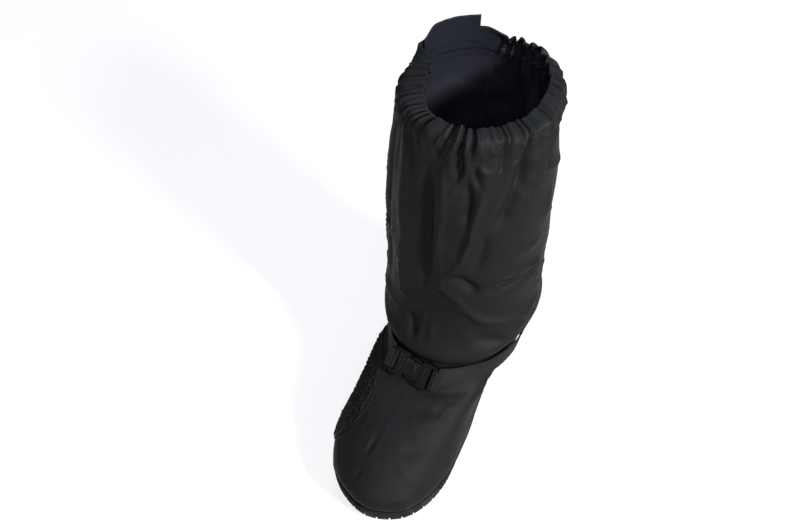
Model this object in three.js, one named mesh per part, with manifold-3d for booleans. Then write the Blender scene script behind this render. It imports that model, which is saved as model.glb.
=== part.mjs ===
// Rain overboot for a left foot: a coated-cloth shaft and vamp on a lugged rubber sole, with a
// gathered collar, a zip at the inner back, an instep strap and a side-release buckle.
// Millimetres, +Z up, toe toward -Y, outer side of the foot toward +X.
// The origin is the middle of the heel's flat tread.
import * as THREE from "three";
import { mergeVertices } from "three/addons/utils/BufferGeometryUtils.js";
import Module from "manifold-3d";

const wasm = await Module();
wasm.setup();

// Driving sizes of the sole.
const soleLength = 300;
const heelBack = 40; // from the origin to the rear edge of the heel
const ballWidth = 124;
const heelWidth = 80;
const lugDepth = 4.5;
const plateThickness = 5;
const lipHeight = 4.5;
const lipThickness = 3;
const sideGroove = 0.9;
const toeSpring = 10;
const archRise = 3;
const rimLugPitch = 13;
const rimLugWidth = 7;
const rimLugLength = 10;
const rimLugNub = 0.9; // how far a lug stands out of the sole's side
const restPadSize = 26;
const barLugWidth = 7;

// Driving sizes of the upper.
const instepHeight = 100; // floor to the middle of the strap, in front
const ankleHeight = 114; // floor to the middle of the strap, at the back
const shaftHeight = 369;
const shaftWidth = 154;
const shaftDepth = 148;
const casingWidth = 140; // the shaft at the foot of the collar
const casingDepth = 148;
const collarWidth = 102; // the gathered rim
const collarDepth = 134;
const upperWall = 1.4;
const clothThickness = 1.1;
const clearance = 0.3;

// Driving sizes of what is sewn on.
const casingHeight = 24;
const pleatCount = 19;
const pleatDepth = 2.2;
const flatRise = 5; // how much higher the ungathered stretch of the rim stands
const tabRise = 21;
const tabHeight = 28;
const tabShoulder = 11; // how far the tab's top edge drops at its sewn end
const webbingWidth = 20;
const webbingThickness = 1.6;
const strapSlack = 3;
const buckleLength = 48;
const buckleWidth = 27;
const buckleThickness = 7;
const buckleWaist = 16;
const buckleWall = 1.6;
const seamWidth = 7;
const seamThickness = 0.8;
const patchThickness = 1.2;

// Driving sizes of the zip.
const zipAngle = -124; // degrees round the shaft from the toe, inner side negative
const zipTapeWidth = 26;
const zipTapeThickness = 0.8;
const zipCoilWidth = 5;
const zipCoilHeight = 1.8;
const zipFoot = 84; // height of the zip's lower end
const sliderWidth = 9;
const sliderLength = 12;
const sliderPlate = 1.6;
const pinDiameter = 1.5;
const eyeWall = 1.1;
const eyeWidth = 3.4;
const earThickness = 1.3;
const pullWidth = 8.5;
const pullLength = 15;
const pullThickness = 2;
const ringOuter = 12;
const ringWire = 1.5;

const degree = Math.PI / 180;
const zipTurn = zipAngle * degree;
const zipTop = shaftHeight - casingHeight - 1;
const zipStack = zipTapeThickness + zipCoilHeight;
const up = new THREE.Vector3(0, 0, 1);

// Small helpers on numbers.
function smooth(edge0, edge1, x) {
  return THREE.MathUtils.smoothstep(x, edge0, edge1);
}

function catmull(a, b, c, d, t) {
  const slopeB = (c - a) / 2;
  const slopeC = (d - b) / 2;
  const t2 = t * t;
  const t3 = t2 * t;
  return (
    (2 * t3 - 3 * t2 + 1) * b +
    (t3 - 2 * t2 + t) * slopeB +
    (-2 * t3 + 3 * t2) * c +
    (t3 - t2) * slopeC
  );
}

// The sole's outline: how far along from heel to toe, and how far the edge lies to the inner and
// outer side, as shares of the local width.
const OUTLINE = [
  // along  inner  outer
  [0.03, 0.25, 0.25],
  [0.09, 0.41, 0.41],
  [0.2, 0.49, 0.5],
  [0.38, 0.42, 0.5],
  [0.52, 0.4, 0.475],
  [0.66, 0.465, 0.485],
  [0.76, 0.49, 0.495],
  [0.86, 0.42, 0.45],
  [0.94, 0.27, 0.35],
  [0.985, 0.09, 0.2],
];
const toeCentre = 0.06; // the toe tip lies this share of the ball width to the outer side

function localWidth(along) {
  return THREE.MathUtils.lerp(heelWidth, ballWidth, smooth(0.2, 0.6, along));
}

function alongToY(along) {
  return heelBack - along * soleLength;
}

function makeOutlineCurve() {
  const edge = (row, column, sign) =>
    new THREE.Vector3(sign * row[column] * localWidth(row[0]), alongToY(row[0]), 0);
  const outer = OUTLINE.map((row) => edge(row, 2, 1)).reverse();
  const inner = OUTLINE.map((row) => edge(row, 1, -1));
  const toe = new THREE.Vector3(toeCentre * ballWidth, alongToY(1), 0);
  const heel = new THREE.Vector3(0, heelBack, 0);
  const curve = new THREE.CatmullRomCurve3([toe, ...outer, heel, ...inner], true, "centripetal");
  curve.arcLengthDivisions = 600;
  return curve;
}

const outlineCurve = makeOutlineCurve();
const heelShare = shareOfHeel();

// The share of the outline's length at which it passes the heel's rear edge.
function shareOfHeel() {
  const steps = 600;
  let best = 0;
  for (let i = 0; i < steps; i++) {
    if (outlineCurve.getPointAt(i / steps).y > outlineCurve.getPointAt(best / steps).y) best = i;
  }
  return best / steps;
}

// A point of the outline for an angle that is 0 at the toe, a quarter turn at the outer side and
// half a turn at the heel, moved out by grow.
function outlinePoint(angle, grow = 0) {
  const turn = THREE.MathUtils.euclideanModulo(angle / (2 * Math.PI), 1);
  const share = turn < 0.5 ? turn * 2 * heelShare : heelShare + (turn * 2 - 1) * (1 - heelShare);
  const point = outlineCurve.getPointAt(share % 1);
  if (grow === 0) return point;
  const tangent = outlineCurve.getTangentAt(share % 1);
  const normal = new THREE.Vector3(-tangent.y, tangent.x, 0).normalize();
  if (normal.dot(new THREE.Vector3(point.x, point.y - alongToY(0.5), 0)) < 0) normal.negate();
  return point.addScaledVector(normal, grow);
}

// How far the tread lifts off the floor at a place along the foot: flat under heel and ball, with
// an arch between and a toe spring in front.
function treadRise(y) {
  const along = (heelBack - y) / soleLength;
  const arch = archRise * smooth(0.27, 0.36, along) * (1 - smooth(0.46, 0.55, along));
  const front = Math.max(0, along - 0.74) / 0.26;
  const back = Math.max(0, 0.05 - along) / 0.05;
  return arch + toeSpring * front * front + 1.5 * back * back;
}

const plateBottom = lugDepth;
const plateTop = plateBottom + plateThickness;
const lipTop = plateTop + lipHeight;
const upperInset = lipThickness + clearance;

// Sections of the foot, from the sole to the strap. Heights are shares of the instep height in
// front and of the ankle height at the back, front and back are places along the sole, half and
// middle are shares of the ball width, grow is in shares of the lip, round goes from the sole's
// outline to an ellipse, and webbing says where a row lies on the strap, from -1 to 1.
const FOOT = [
  // front height, back height, front, back, half, middle, grow, round, webbing
  [0.19, 0.145, 1.003, -0.003, 0.5, 0.004, -0.6, 0, 0],
  [0.295, 0.22, 1.007, -0.01, 0.508, 0.012, 0, 0, 0],
  [0.42, 0.32, 0.998, -0.013, 0.505, 0.016, 0, 0.08, 0],
  [0.53, 0.42, 0.965, -0.013, 0.493, 0.018, 0, 0.2, 0],
  [0.635, 0.52, 0.912, -0.01, 0.49, 0.02, 0, 0.4, 0],
  [0.72, 0.62, 0.835, -0.008, 0.5, 0.022, 0, 0.6, 0],
  [0.8, 0.74, 0.745, -0.005, 0.52, 0.026, 0, 0.8, 0],
  [0.865, 0.865, 0.655, 0, 0.53, 0.036, 0, 0.95, 0],
  [1, 1, 0.608, 0, 0.535, 0.05, 0, 1, -1],
  [1, 1, 0.585, 0, 0.54, 0.05, 0, 1, 0],
  [1, 1, 0.561, 0.002, 0.555, 0.045, 0, 1, 1],
];
const frontSlope = 0.36; // height the webbing takes up on the slope of the instep, for its half width
const SEATED_ROWS = 2; // rows below these, inside the sole's lip
const STRAP_LOW = SEATED_ROWS + FOOT.length - 3; // the strap's lower edge, middle and upper edge
const STRAP_MIDDLE = STRAP_LOW + 1;
const STRAP_HIGH = STRAP_LOW + 2;

// Sections of the shaft, from the strap to the rim. Rise is a share of the height between them,
// centre is a place along the sole, and the halves are shares of the shaft's depth and width.
const SHAFT = [
  // rise, centre, half depth, half width, middle
  [0.075, 0.28, 0.585, 0.485, 0.034],
  [0.13, 0.272, 0.555, 0.49, 0.03],
  [0.22, 0.262, 0.51, 0.498, 0.012],
  [0.38, 0.25, 0.5, 0.5, 0.004],
  [0.56, 0.238, 0.505, 0.503, -0.008],
  [0.73, 0.22, 0.507, 0.495, -0.014],
  [0.8, 0.211, 0.503, 0.485, -0.018],
];
// Sections of the collar, from the casing's lower stitch line to the rim. Height is a share of the
// casing's height, and gather runs from the shaft's own size to the gathered rim's.
const COLLAR = [
  // height, gather, centre, middle
  [0, 0, 0.193, -0.035],
  [0.5, 0, 0.19, -0.03],
  [0.84, 0.2, 0.182, -0.018],
  [1, 1, 0.173, -0.006],
];

// Every section in millimetres, with the same names for foot and shaft.
function makeSections() {
  const seated = (height) => ({
    frontHeight: height,
    backHeight: height,
    front: alongToY(1),
    back: alongToY(0),
    half: ballWidth / 2,
    middle: 0,
    grow: -upperInset,
    round: 0,
  });
  const foot = FOOT.map(([fh, bh, front, back, half, middle, grow, round, webbing]) => ({
    frontHeight: fh * instepHeight + webbing * webbingWidth * frontSlope,
    backHeight: bh * ankleHeight + (webbing * webbingWidth) / 2,
    front: alongToY(front),
    back: alongToY(back),
    half: half * ballWidth,
    middle: middle * ballWidth,
    grow: grow * lipThickness,
    round,
  }));
  const shaft = SHAFT.map(([rise, centre, depth, width, middle]) => ({
    frontHeight: THREE.MathUtils.lerp(instepHeight, shaftHeight, rise),
    backHeight: THREE.MathUtils.lerp(ankleHeight, shaftHeight, rise),
    front: alongToY(centre) - depth * shaftDepth,
    back: alongToY(centre) + depth * shaftDepth,
    half: width * shaftWidth,
    middle: middle * shaftWidth,
    grow: 0,
    round: 1,
  }));
  const collar = COLLAR.map(([height, gather, centre, middle]) => {
    const depth = THREE.MathUtils.lerp(casingDepth, collarDepth, gather);
    const width = THREE.MathUtils.lerp(casingWidth, collarWidth, gather);
    return {
      frontHeight: shaftHeight - casingHeight * (1 - height),
      backHeight: shaftHeight - casingHeight * (1 - height),
      front: alongToY(centre) - depth / 2,
      back: alongToY(centre) + depth / 2,
      half: width / 2,
      middle: middle * casingWidth,
      grow: 0,
      round: 1,
    };
  });
  return [seated(plateTop + clearance), seated(lipTop), ...foot, ...shaft, ...collar];
}

const sections = makeSections();
const topRow = sections.length - 1;
const collarLow = topRow - COLLAR.length + 1;

// The collar is gathered by elastic all round but for a flat stretch at the inner back.
const columnsAround = 48; // the sole and the upper share them, so that their walls run parallel
const columnStep = (2 * Math.PI) / columnsAround;
const flatStart = -23 * columnStep;
const flatEnd = -12 * columnStep;
const flatBlend = 2 * columnStep;

// One where the collar lies flat and nothing where it is gathered.
function flatShare(angle) {
  const turned = THREE.MathUtils.euclideanModulo(angle, 2 * Math.PI) - 2 * Math.PI;
  return (
    smooth(flatStart, flatStart + flatBlend, turned) * (1 - smooth(flatEnd - flatBlend, flatEnd, turned))
  );
}

// One value of the sections at a row number, which may lie between rows or a little past the top.
function sectionValue(name, row) {
  const value = (i) => sections[THREE.MathUtils.clamp(i, 0, topRow)][name];
  if (row >= topRow) {
    const lean = value(topRow) - value(topRow - 1);
    return value(topRow) + lean * (row - topRow);
  }
  const i = Math.floor(row);
  return catmull(value(i - 1), value(i), value(i + 1), value(i + 2), row - i);
}

// The outer face of the upper: angle as for the outline, row as in the sections.
function upperFace(angle, row) {
  const flat = row > collarLow ? flatShare(angle) : 0;
  const value = (name) =>
    THREE.MathUtils.lerp(sectionValue(name, row), sectionValue(name, Math.min(row, collarLow)), flat);
  const round = THREE.MathUtils.clamp(sectionValue("round", row), 0, 1);
  const front = value("front");
  const back = value("back");
  const half = value("half");
  const foot = outlinePoint(angle, row <= 1 ? -upperInset : sectionValue("grow", row));
  const footX = foot.x / (ballWidth / 2);
  const footY = (foot.y - alongToY(0.5)) / (soleLength / 2);
  const shapeX = THREE.MathUtils.lerp(footX, Math.sin(angle), round);
  const shapeY = THREE.MathUtils.lerp(footY, -Math.cos(angle), round);
  const x = value("middle") + shapeX * half;
  const y = (front + back) / 2 + (shapeY * (back - front)) / 2;
  const share = (y - front) / (back - front);
  const low = sectionValue("frontHeight", row);
  const high = sectionValue("backHeight", row);
  const lift = treadRise(y) * (1 - smooth(lipTop, instepHeight * 0.7, low));
  const stand = flatRise * flat * smooth(collarLow, topRow, row);
  return new THREE.Vector3(x, y, THREE.MathUtils.lerp(low, high, share) + lift + stand);
}

// The same face moved along its own normal, out where offset is positive.
function upperPoint(angle, row, offset = 0) {
  const point = upperFace(angle, row);
  if (offset === 0) return point;
  return point.addScaledVector(upperNormal(angle, row), offset);
}

function upperNormal(angle, row) {
  const step = 0.02;
  const low = row <= 1 ? 0 : row - step;
  const high = row <= 1 ? 1 : row + step;
  const along = upperFace(angle + step, row).sub(upperFace(angle - step, row));
  const upward = upperFace(angle, high).sub(upperFace(angle, low));
  return along.cross(upward).normalize();
}

// The row at which the upper passes a height, at one angle.
function rowAtHeight(angle, height) {
  let low = 0;
  let high = topRow + 1.5;
  for (let i = 0; i < 30; i++) {
    const middle = (low + high) / 2;
    if (upperFace(angle, middle).z < height) low = middle;
    else high = middle;
  }
  return (low + high) / 2;
}

// A frame on the upper's facet between two section rows: X across the cloth, Y up it and Z out.
function upperFrame(angle, row) {
  const low = upperFace(angle, Math.floor(row));
  const high = upperFace(angle, Math.floor(row) + 1);
  const rise = new THREE.Vector3().subVectors(high, low).normalize();
  const along = new THREE.Vector3().crossVectors(rise, upperNormal(angle, row)).normalize();
  const out = new THREE.Vector3().crossVectors(along, rise);
  const origin = low.lerp(high, row - Math.floor(row));
  return new THREE.Matrix4().makeBasis(along, rise, out).setPosition(origin);
}

// Solids from grids of points.
function geometryOf(points, triangles) {
  const geometry = new THREE.BufferGeometry();
  geometry.setAttribute(
    "position",
    new THREE.Float32BufferAttribute(points.flatMap((p) => [p.x, p.y, p.z]), 3),
  );
  const volume = triangles.reduce((sum, [a, b, c]) => {
    const cross = new THREE.Vector3().crossVectors(points[b], points[c]);
    return sum + points[a].dot(cross);
  }, 0);
  geometry.setIndex(triangles.flatMap(([a, b, c]) => (volume < 0 ? [a, c, b] : [a, b, c])));
  return geometry;
}

// A closed solid between two grids with the same rows and columns, whose columns may run round.
// From the row foldRow on, each square is split along its other diagonal.
function solidBetween(face, backing, around = false, foldRow = Infinity) {
  const rows = face.length;
  const columns = face[0].length;
  const points = [...face.flat(), ...backing.flat()];
  const at = (side, r, c) => side * rows * columns + r * columns + (c % columns);
  const triangles = [];
  const quad = (a, b, c, d) => triangles.push([a, b, c], [a, c, d]);
  const lastColumn = around ? columns : columns - 1;
  for (let r = 0; r < rows - 1; r++) {
    for (let c = 0; c < lastColumn; c++) {
      if (r < foldRow) {
        quad(at(0, r, c), at(0, r, c + 1), at(0, r + 1, c + 1), at(0, r + 1, c));
        quad(at(1, r, c), at(1, r + 1, c), at(1, r + 1, c + 1), at(1, r, c + 1));
      } else {
        quad(at(0, r, c + 1), at(0, r + 1, c + 1), at(0, r + 1, c), at(0, r, c));
        quad(at(1, r, c + 1), at(1, r, c), at(1, r + 1, c), at(1, r + 1, c + 1));
      }
    }
    if (around) continue;
    quad(at(0, r, 0), at(0, r + 1, 0), at(1, r + 1, 0), at(1, r, 0));
    quad(at(0, r, lastColumn), at(1, r, lastColumn), at(1, r + 1, lastColumn), at(0, r + 1, lastColumn));
  }
  for (let c = 0; c < lastColumn; c++) {
    quad(at(0, 0, c), at(1, 0, c), at(1, 0, c + 1), at(0, 0, c + 1));
    quad(at(0, rows - 1, c), at(0, rows - 1, c + 1), at(1, rows - 1, c + 1), at(1, rows - 1, c));
  }
  return geometryOf(points, triangles);
}

function grid(rows, columns, pointAt) {
  return rows.map((row) => columns.map((column) => pointAt(column, row)));
}

function evenly(from, to, count) {
  return Array.from({ length: count }, (_, i) => from + ((to - from) * i) / (count - 1));
}

// Joins and cuts.
function solidOf(geometry) {
  const bare = geometry.clone();
  bare.deleteAttribute("normal");
  bare.deleteAttribute("uv");
  const merged = mergeVertices(bare, 1e-4);
  return new wasm.Manifold(
    new wasm.Mesh({
      numProp: 3,
      vertProperties: merged.attributes.position.array,
      triVerts: new Uint32Array(merged.index.array),
    }),
  );
}

function geometryOfSolid(solid) {
  const mesh = solid.getMesh();
  const geometry = new THREE.BufferGeometry();
  const positions = [];
  for (let i = 0; i < mesh.numVert; i++) {
    positions.push(...mesh.vertProperties.slice(i * mesh.numProp, i * mesh.numProp + 3));
  }
  geometry.setAttribute("position", new THREE.Float32BufferAttribute(positions, 3));
  geometry.setIndex(Array.from(mesh.triVerts));
  return geometry;
}

function joined(geometries) {
  return geometries.map(solidOf).reduce((whole, piece) => whole.add(piece));
}

function box(sizeX, sizeY, sizeZ, x, y, z) {
  return new THREE.BoxGeometry(sizeX, sizeY, sizeZ).translate(x, y, z);
}

// A flat plate with round corners, lying in X and Y, from z upward.
function roundPlate(sizeX, sizeY, thickness, corner, x, y, z) {
  const shape = new THREE.Shape();
  const right = sizeX / 2;
  const top = sizeY / 2;
  shape.moveTo(-right + corner, -top);
  shape.lineTo(right - corner, -top);
  shape.absarc(right - corner, -top + corner, corner, -Math.PI / 2, 0);
  shape.lineTo(right, top - corner);
  shape.absarc(right - corner, top - corner, corner, 0, Math.PI / 2);
  shape.lineTo(-right + corner, top);
  shape.absarc(-right + corner, top - corner, corner, Math.PI / 2, Math.PI);
  shape.lineTo(-right, -top + corner);
  shape.absarc(-right + corner, -top + corner, corner, Math.PI, Math.PI * 1.5);
  return new THREE.ExtrudeGeometry(shape, {
    depth: thickness,
    bevelEnabled: false,
    curveSegments: 3,
  }).translate(x, y, z);
}

// The sole: a plate with a lip round it, a groove round its side, and lugs under it.

function makePlate() {
  const profile = [
    // grow, height
    [0, plateBottom],
    [0, plateTop - 1.2],
    [-sideGroove, plateTop - 0.6],
    [-sideGroove, plateTop + 0.4],
    [0, plateTop + 1],
    [0, lipTop - 0.8],
    [-0.8, lipTop],
    [-lipThickness, lipTop],
    [-lipThickness, plateTop],
  ];
  const points = [];
  for (const [grow, height] of profile) {
    for (let c = 0; c < columnsAround; c++) {
      const edge = outlinePoint((c / columnsAround) * 2 * Math.PI, grow);
      points.push(new THREE.Vector3(edge.x, edge.y, height + treadRise(edge.y)));
    }
  }
  const at = (r, c) => r * columnsAround + (c % columnsAround);
  const triangles = [];
  for (let r = 0; r < profile.length - 1; r++) {
    for (let c = 0; c < columnsAround; c++) {
      triangles.push([at(r, c), at(r, c + 1), at(r + 1, c + 1)]);
      triangles.push([at(r, c), at(r + 1, c + 1), at(r + 1, c)]);
    }
  }
  // The plate's two faces are closed by strips that run across the foot.
  const closeAcross = (r, turn) => {
    for (let c = 0; c < columnsAround / 2; c++) {
      const other = columnsAround - c;
      const strip = [
        [at(r, c), at(r, other), at(r, c + 1)],
        [at(r, c + 1), at(r, other), at(r, other - 1)],
      ];
      for (const [a, b, d] of strip) {
        if (a !== b && b !== d && a !== d) triangles.push(turn ? [a, d, b] : [a, b, d]);
      }
    }
  };
  closeAcross(0, false);
  closeAcross(profile.length - 1, true);
  return geometryOf(points, triangles);
}

// A lug stands between four corners of the outline's plane and reaches from the tread's surface
// up into the plate, a little narrower at its foot.
function lug(corners) {
  const centre = corners.reduce((sum, p) => sum.add(p), new THREE.Vector3()).divideScalar(4);
  const foot = corners.map((p) => {
    const q = p.clone().lerp(centre, 0.1);
    return new THREE.Vector3(q.x, q.y, treadRise(q.y));
  });
  const head = corners.map(
    (p) => new THREE.Vector3(p.x, p.y, treadRise(p.y) + plateBottom + plateThickness * 0.3),
  );
  return solidBetween([[foot[0], foot[1]], [foot[3], foot[2]]], [[head[0], head[1]], [head[3], head[2]]]);
}

function makeSole() {
  const lugs = [];
  const length = outlineCurve.getLength();
  const rimLugs = 2 * Math.round(length / rimLugPitch / 2);
  for (let i = 0; i < rimLugs; i++) {
    const middle = ((i + 0.5) / rimLugs) * 2 * Math.PI;
    const half = ((rimLugWidth / length) * 2 * Math.PI) / 2;
    lugs.push(
      lug([
        outlinePoint(middle - half, rimLugNub),
        outlinePoint(middle + half, rimLugNub),
        outlinePoint(middle + half, rimLugNub - rimLugLength),
        outlinePoint(middle - half, rimLugNub - rimLugLength),
      ]),
    );
  }
  const bar = (x, y, sizeX, sizeY, skew) =>
    lug([
      new THREE.Vector3(x - sizeX / 2, y - sizeY / 2 + skew, 0),
      new THREE.Vector3(x + sizeX / 2, y - sizeY / 2 - skew, 0),
      new THREE.Vector3(x + sizeX / 2, y + sizeY / 2 - skew, 0),
      new THREE.Vector3(x - sizeX / 2, y + sizeY / 2 + skew, 0),
    ]);
  const padHalf = restPadSize / 2;
  lugs.push(bar(0, 0, restPadSize, restPadSize, 0));
  lugs.push(bar(ballMiddle, ballY, restPadSize * 1.4, restPadSize, 0));
  // Slanted bars in pairs fill the field inside the rim lugs, before and behind the two pads.
  for (const [along, share] of BARS) {
    const y = alongToY(along);
    const reach = share * localWidth(along);
    for (const side of [-1, 1]) {
      lugs.push(bar(ballMiddle * smooth(0.3, 0.7, along) + (side * reach) / 2, y, reach * 0.82, barLugWidth, side * 2));
    }
  }
  // Side lugs beside the pads.
  for (const side of [-1, 1]) {
    lugs.push(bar(ballMiddle + side * (padHalf * 1.4 + barLugWidth), ballY, barLugWidth, restPadSize, 0));
  }
  return geometryOfSolid(joined([makePlate(), ...lugs]));
}

const ballMiddle = 0.02 * ballWidth;
const ballY = alongToY(0.68);
const BARS = [
  // along the sole, reach as a share of the local width
  [0.055, 0.18],
  [0.205, 0.26],
  [0.245, 0.26],
  [0.55, 0.3],
  [0.6, 0.31],
  [0.76, 0.33],
  [0.81, 0.31],
  [0.86, 0.27],
  [0.91, 0.2],
];

// The upper: one hollow wall from the sole to the rim.
const UPPER_ROWS = sections.map((_, row) => row);

function makeUpper() {
  const angles = evenly(0, 2 * Math.PI, columnsAround + 1).slice(0, columnsAround);
  return solidBetween(
    grid(UPPER_ROWS, angles, (angle, row) => upperPoint(angle, row)),
    grid(UPPER_ROWS, angles, (angle, row) => upperPoint(angle, row, -upperWall)),
    true,
  );
}

const collarSeat = 2 * clearance;

// The collar: cloth folded over the rim, outside, over the edge and a little way down inside.
function collarPiece(from, to, columns, pleats, depth) {
  const path = [
    // row, side of the wall
    [collarLow, 1],
    [collarLow + 1, 1],
    [collarLow + 2, 1],
    [topRow, 1],
    [topRow, -1],
    [topRow - 1, -1],
  ];
  const wave = (angle, row) => {
    const share = (angle - from) / (to - from);
    const full = smooth(0, 0.03, share) * (1 - smooth(0.97, 1, share));
    const lift = 0.35 + 0.65 * smooth(collarLow, collarLow + 2, row);
    const uneven = 1 + 0.3 * Math.sin(share * 17) + 0.2 * Math.sin(share * 41);
    return depth * full * uneven * lift * (0.5 - 0.5 * Math.cos(share * pleats * 2 * Math.PI));
  };
  const point = (angle, step, skin) => {
    const [row, side] = path[step];
    const gap = collarSeat + skin + wave(angle, row) * (side > 0 ? 1 : 0.5);
    const rimStep = upperFace(angle, topRow).distanceTo(upperFace(angle, topRow - 1));
    const beyond = row === topRow ? (collarSeat + skin) / rimStep : 0;
    return upperPoint(angle, row + beyond, side > 0 ? gap : -upperWall - gap);
  };
  const steps = path.map((_, step) => step);
  const angles = evenly(from, to, columns);
  return solidBetween(
    grid(steps, angles, (angle, step) => point(angle, step, clothThickness)),
    grid(steps, angles, (angle, step) => point(angle, step, 0)),
    false,
    path.findIndex(([, side]) => side < 0),
  );
}

const endGap = clearance / (collarWidth / 2);

function makeCasing() {
  const columns = 3 * pleatCount + 1;
  return collarPiece(flatEnd + endGap, flatStart + 2 * Math.PI - endGap, columns, pleatCount, pleatDepth);
}

function makeHem() {
  return collarPiece(flatStart, flatEnd, Math.round((flatEnd - flatStart) / columnStep) + 1, 1, 0);
}

// The hook tab: a flat double strip of cloth inside the hem, standing above the rim.
function makeTab() {
  const inside = -upperWall - collarSeat - clothThickness - clearance;
  const shares = evenly(0, 1, 4);
  const cutEnd = flatStart + flatBlend + columnStep / 2;
  const sewnEnd = flatEnd - flatBlend - columnStep / 4;
  const face = (angle, share, offset) => {
    const p = upperPoint(angle, collarLow + 0.5, offset);
    const drop = tabShoulder * smooth(sewnEnd - 2 * columnStep, sewnEnd, angle) ** 2;
    p.z = shaftHeight + tabRise - tabHeight + share * (tabHeight - drop);
    return p;
  };
  const angles = evenly(cutEnd, sewnEnd, 12);
  return solidBetween(
    grid(shares, angles, (angle, share) => face(angle, share, inside)),
    grid(shares, angles, (angle, share) => face(angle, share, inside - 1.5 * clothThickness)),
  );
}

// The vamp's lapped seam: a raised strip down the middle of the foot to the sole.
function makeSeam() {
  const rows = [3, 3.5, 4, 4.5, 5, 5.5, 6, 6.5, 7, 8, 9];
  const strip = (offset) => (side, row) => {
    const half = sectionValue("half", row);
    const x = seamLine + side * seamWidth;
    const round = sectionValue("round", row);
    const spread = THREE.MathUtils.lerp(1.55, 1, round);
    const toe = THREE.MathUtils.lerp(toeCentre * 2, 0, round);
    const share = ((x - sectionValue("middle", row)) / half - toe) / spread;
    return upperPoint(Math.asin(share), row, offset);
  };
  const sides = [-0.5, 0, 0.5];
  return solidBetween(
    grid(rows, sides, strip(clearance + seamThickness)),
    grid(rows, sides, strip(clearance)),
  );
}

const seamLine = -0.016 * ballWidth;

// The rough patch on the inner side of the vamp, from near the seam down to the sole.
const PATCH = [
  // row, edge near the seam, edge toward the heel, both in degrees to the inner side
  [3, 44, 70],
  [4, 41, 72],
  [5, 37, 73],
  [6, 32, 73],
  [7, 27, 72],
  [8, 26, 71],
  [8.5, 31, 70],
  [9, 38, 67],
];

function makePatch() {
  const across = evenly(0, 1, 9);
  const skin = (offset) => (share, line) => {
    const [row, front, back] = line;
    const angle = -THREE.MathUtils.lerp(front, back, share) * degree;
    return upperPoint(angle, row, offset);
  };
  return solidBetween(
    grid(PATCH, across, skin(clearance + patchThickness)),
    grid(PATCH, across, skin(clearance)),
  );
}

// The buckle lies flat on the instep, over the seam. Its own frame has X along the strap, and it
// is tilted to rest on the cloth below and above the strap's line.
const slotWidth = webbingWidth + 1.5;
const slotLength = 3.2;
const slotInset = 4.2;
const buckleEnd = 16; // length of each wide end
const buckleMiddle = 0; // the buckle's middle lies over the foot's own middle line
const buckleAngle = Math.asin((buckleMiddle - sectionValue("middle", STRAP_MIDDLE)) / sectionValue("half", STRAP_MIDDLE));
const buckleFrame = makeBuckleFrame();

function makeBuckleFrame() {
  const low = upperFace(buckleAngle, STRAP_LOW - 0.3);
  const high = upperFace(buckleAngle, STRAP_HIGH + 0.3);
  const rise = new THREE.Vector3().subVectors(high, low).normalize();
  const along = new THREE.Vector3().crossVectors(up, upperNormal(buckleAngle, STRAP_MIDDLE)).normalize();
  const out = new THREE.Vector3().crossVectors(along, rise).normalize();
  const origin = low.add(high).multiplyScalar(0.5);
  const frame = new THREE.Matrix4().makeBasis(along, new THREE.Vector3().crossVectors(out, along), out);
  frame.setPosition(origin);
  // It rests on the highest of the cloth under it.
  const inverse = frame.clone().invert();
  let highest = -Infinity;
  for (const angle of evenly(buckleAngle - 0.5, buckleAngle + 0.5, 41)) {
    for (const row of evenly(STRAP_LOW - 2, STRAP_HIGH + 3, 51)) {
      const p = upperFace(angle, row).applyMatrix4(inverse);
      if (Math.abs(p.x) < buckleLength / 2 && Math.abs(p.y) < buckleWidth / 2) highest = Math.max(highest, p.z);
    }
  }
  return frame.setPosition(origin.addScaledVector(out, highest + clearance));
}

function bucklePlate(length, width, x) {
  return roundPlate(length, width, buckleThickness, 2.5, x, 0, 0);
}

function makeSocket() {
  const half = buckleLength / 2;
  const wide = bucklePlate(buckleEnd, buckleWidth, -half + buckleEnd / 2);
  const throatLength = buckleLength - 2 * buckleEnd;
  const throat = box(
    throatLength + 2,
    buckleWaist,
    buckleThickness - 1,
    -1 - clearance / 2,
    0,
    buckleThickness / 2,
  );
  const bore = box(
    throatLength + buckleEnd / 2,
    buckleWaist - 2 * buckleWall,
    buckleThickness - 1 - 2 * buckleWall,
    -buckleEnd / 4 + 1,
    0,
    buckleThickness / 2,
  );
  const slot = box(slotLength, slotWidth, buckleThickness * 3, -half + slotInset, 0, 0);
  return geometryOfSolid(joined([wide, throat]).subtract(solidOf(bore)).subtract(solidOf(slot)));
}

function makePlug() {
  const half = buckleLength / 2;
  const wide = bucklePlate(buckleEnd - clearance, buckleWidth, half - (buckleEnd - clearance) / 2);
  const tongueLength = buckleLength - 2 * buckleEnd + 4;
  const tongue = box(
    tongueLength,
    buckleWaist - 2 * buckleWall - 2 * clearance,
    buckleThickness - 1 - 2 * buckleWall - 2 * clearance,
    half - buckleEnd - tongueLength / 2 + 2,
    0,
    buckleThickness / 2,
  );
  const slot = box(slotLength, slotWidth, buckleThickness * 3, half - slotInset, 0, 0);
  return geometryOfSolid(joined([wide, tongue]).subtract(solidOf(slot)));
}

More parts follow.
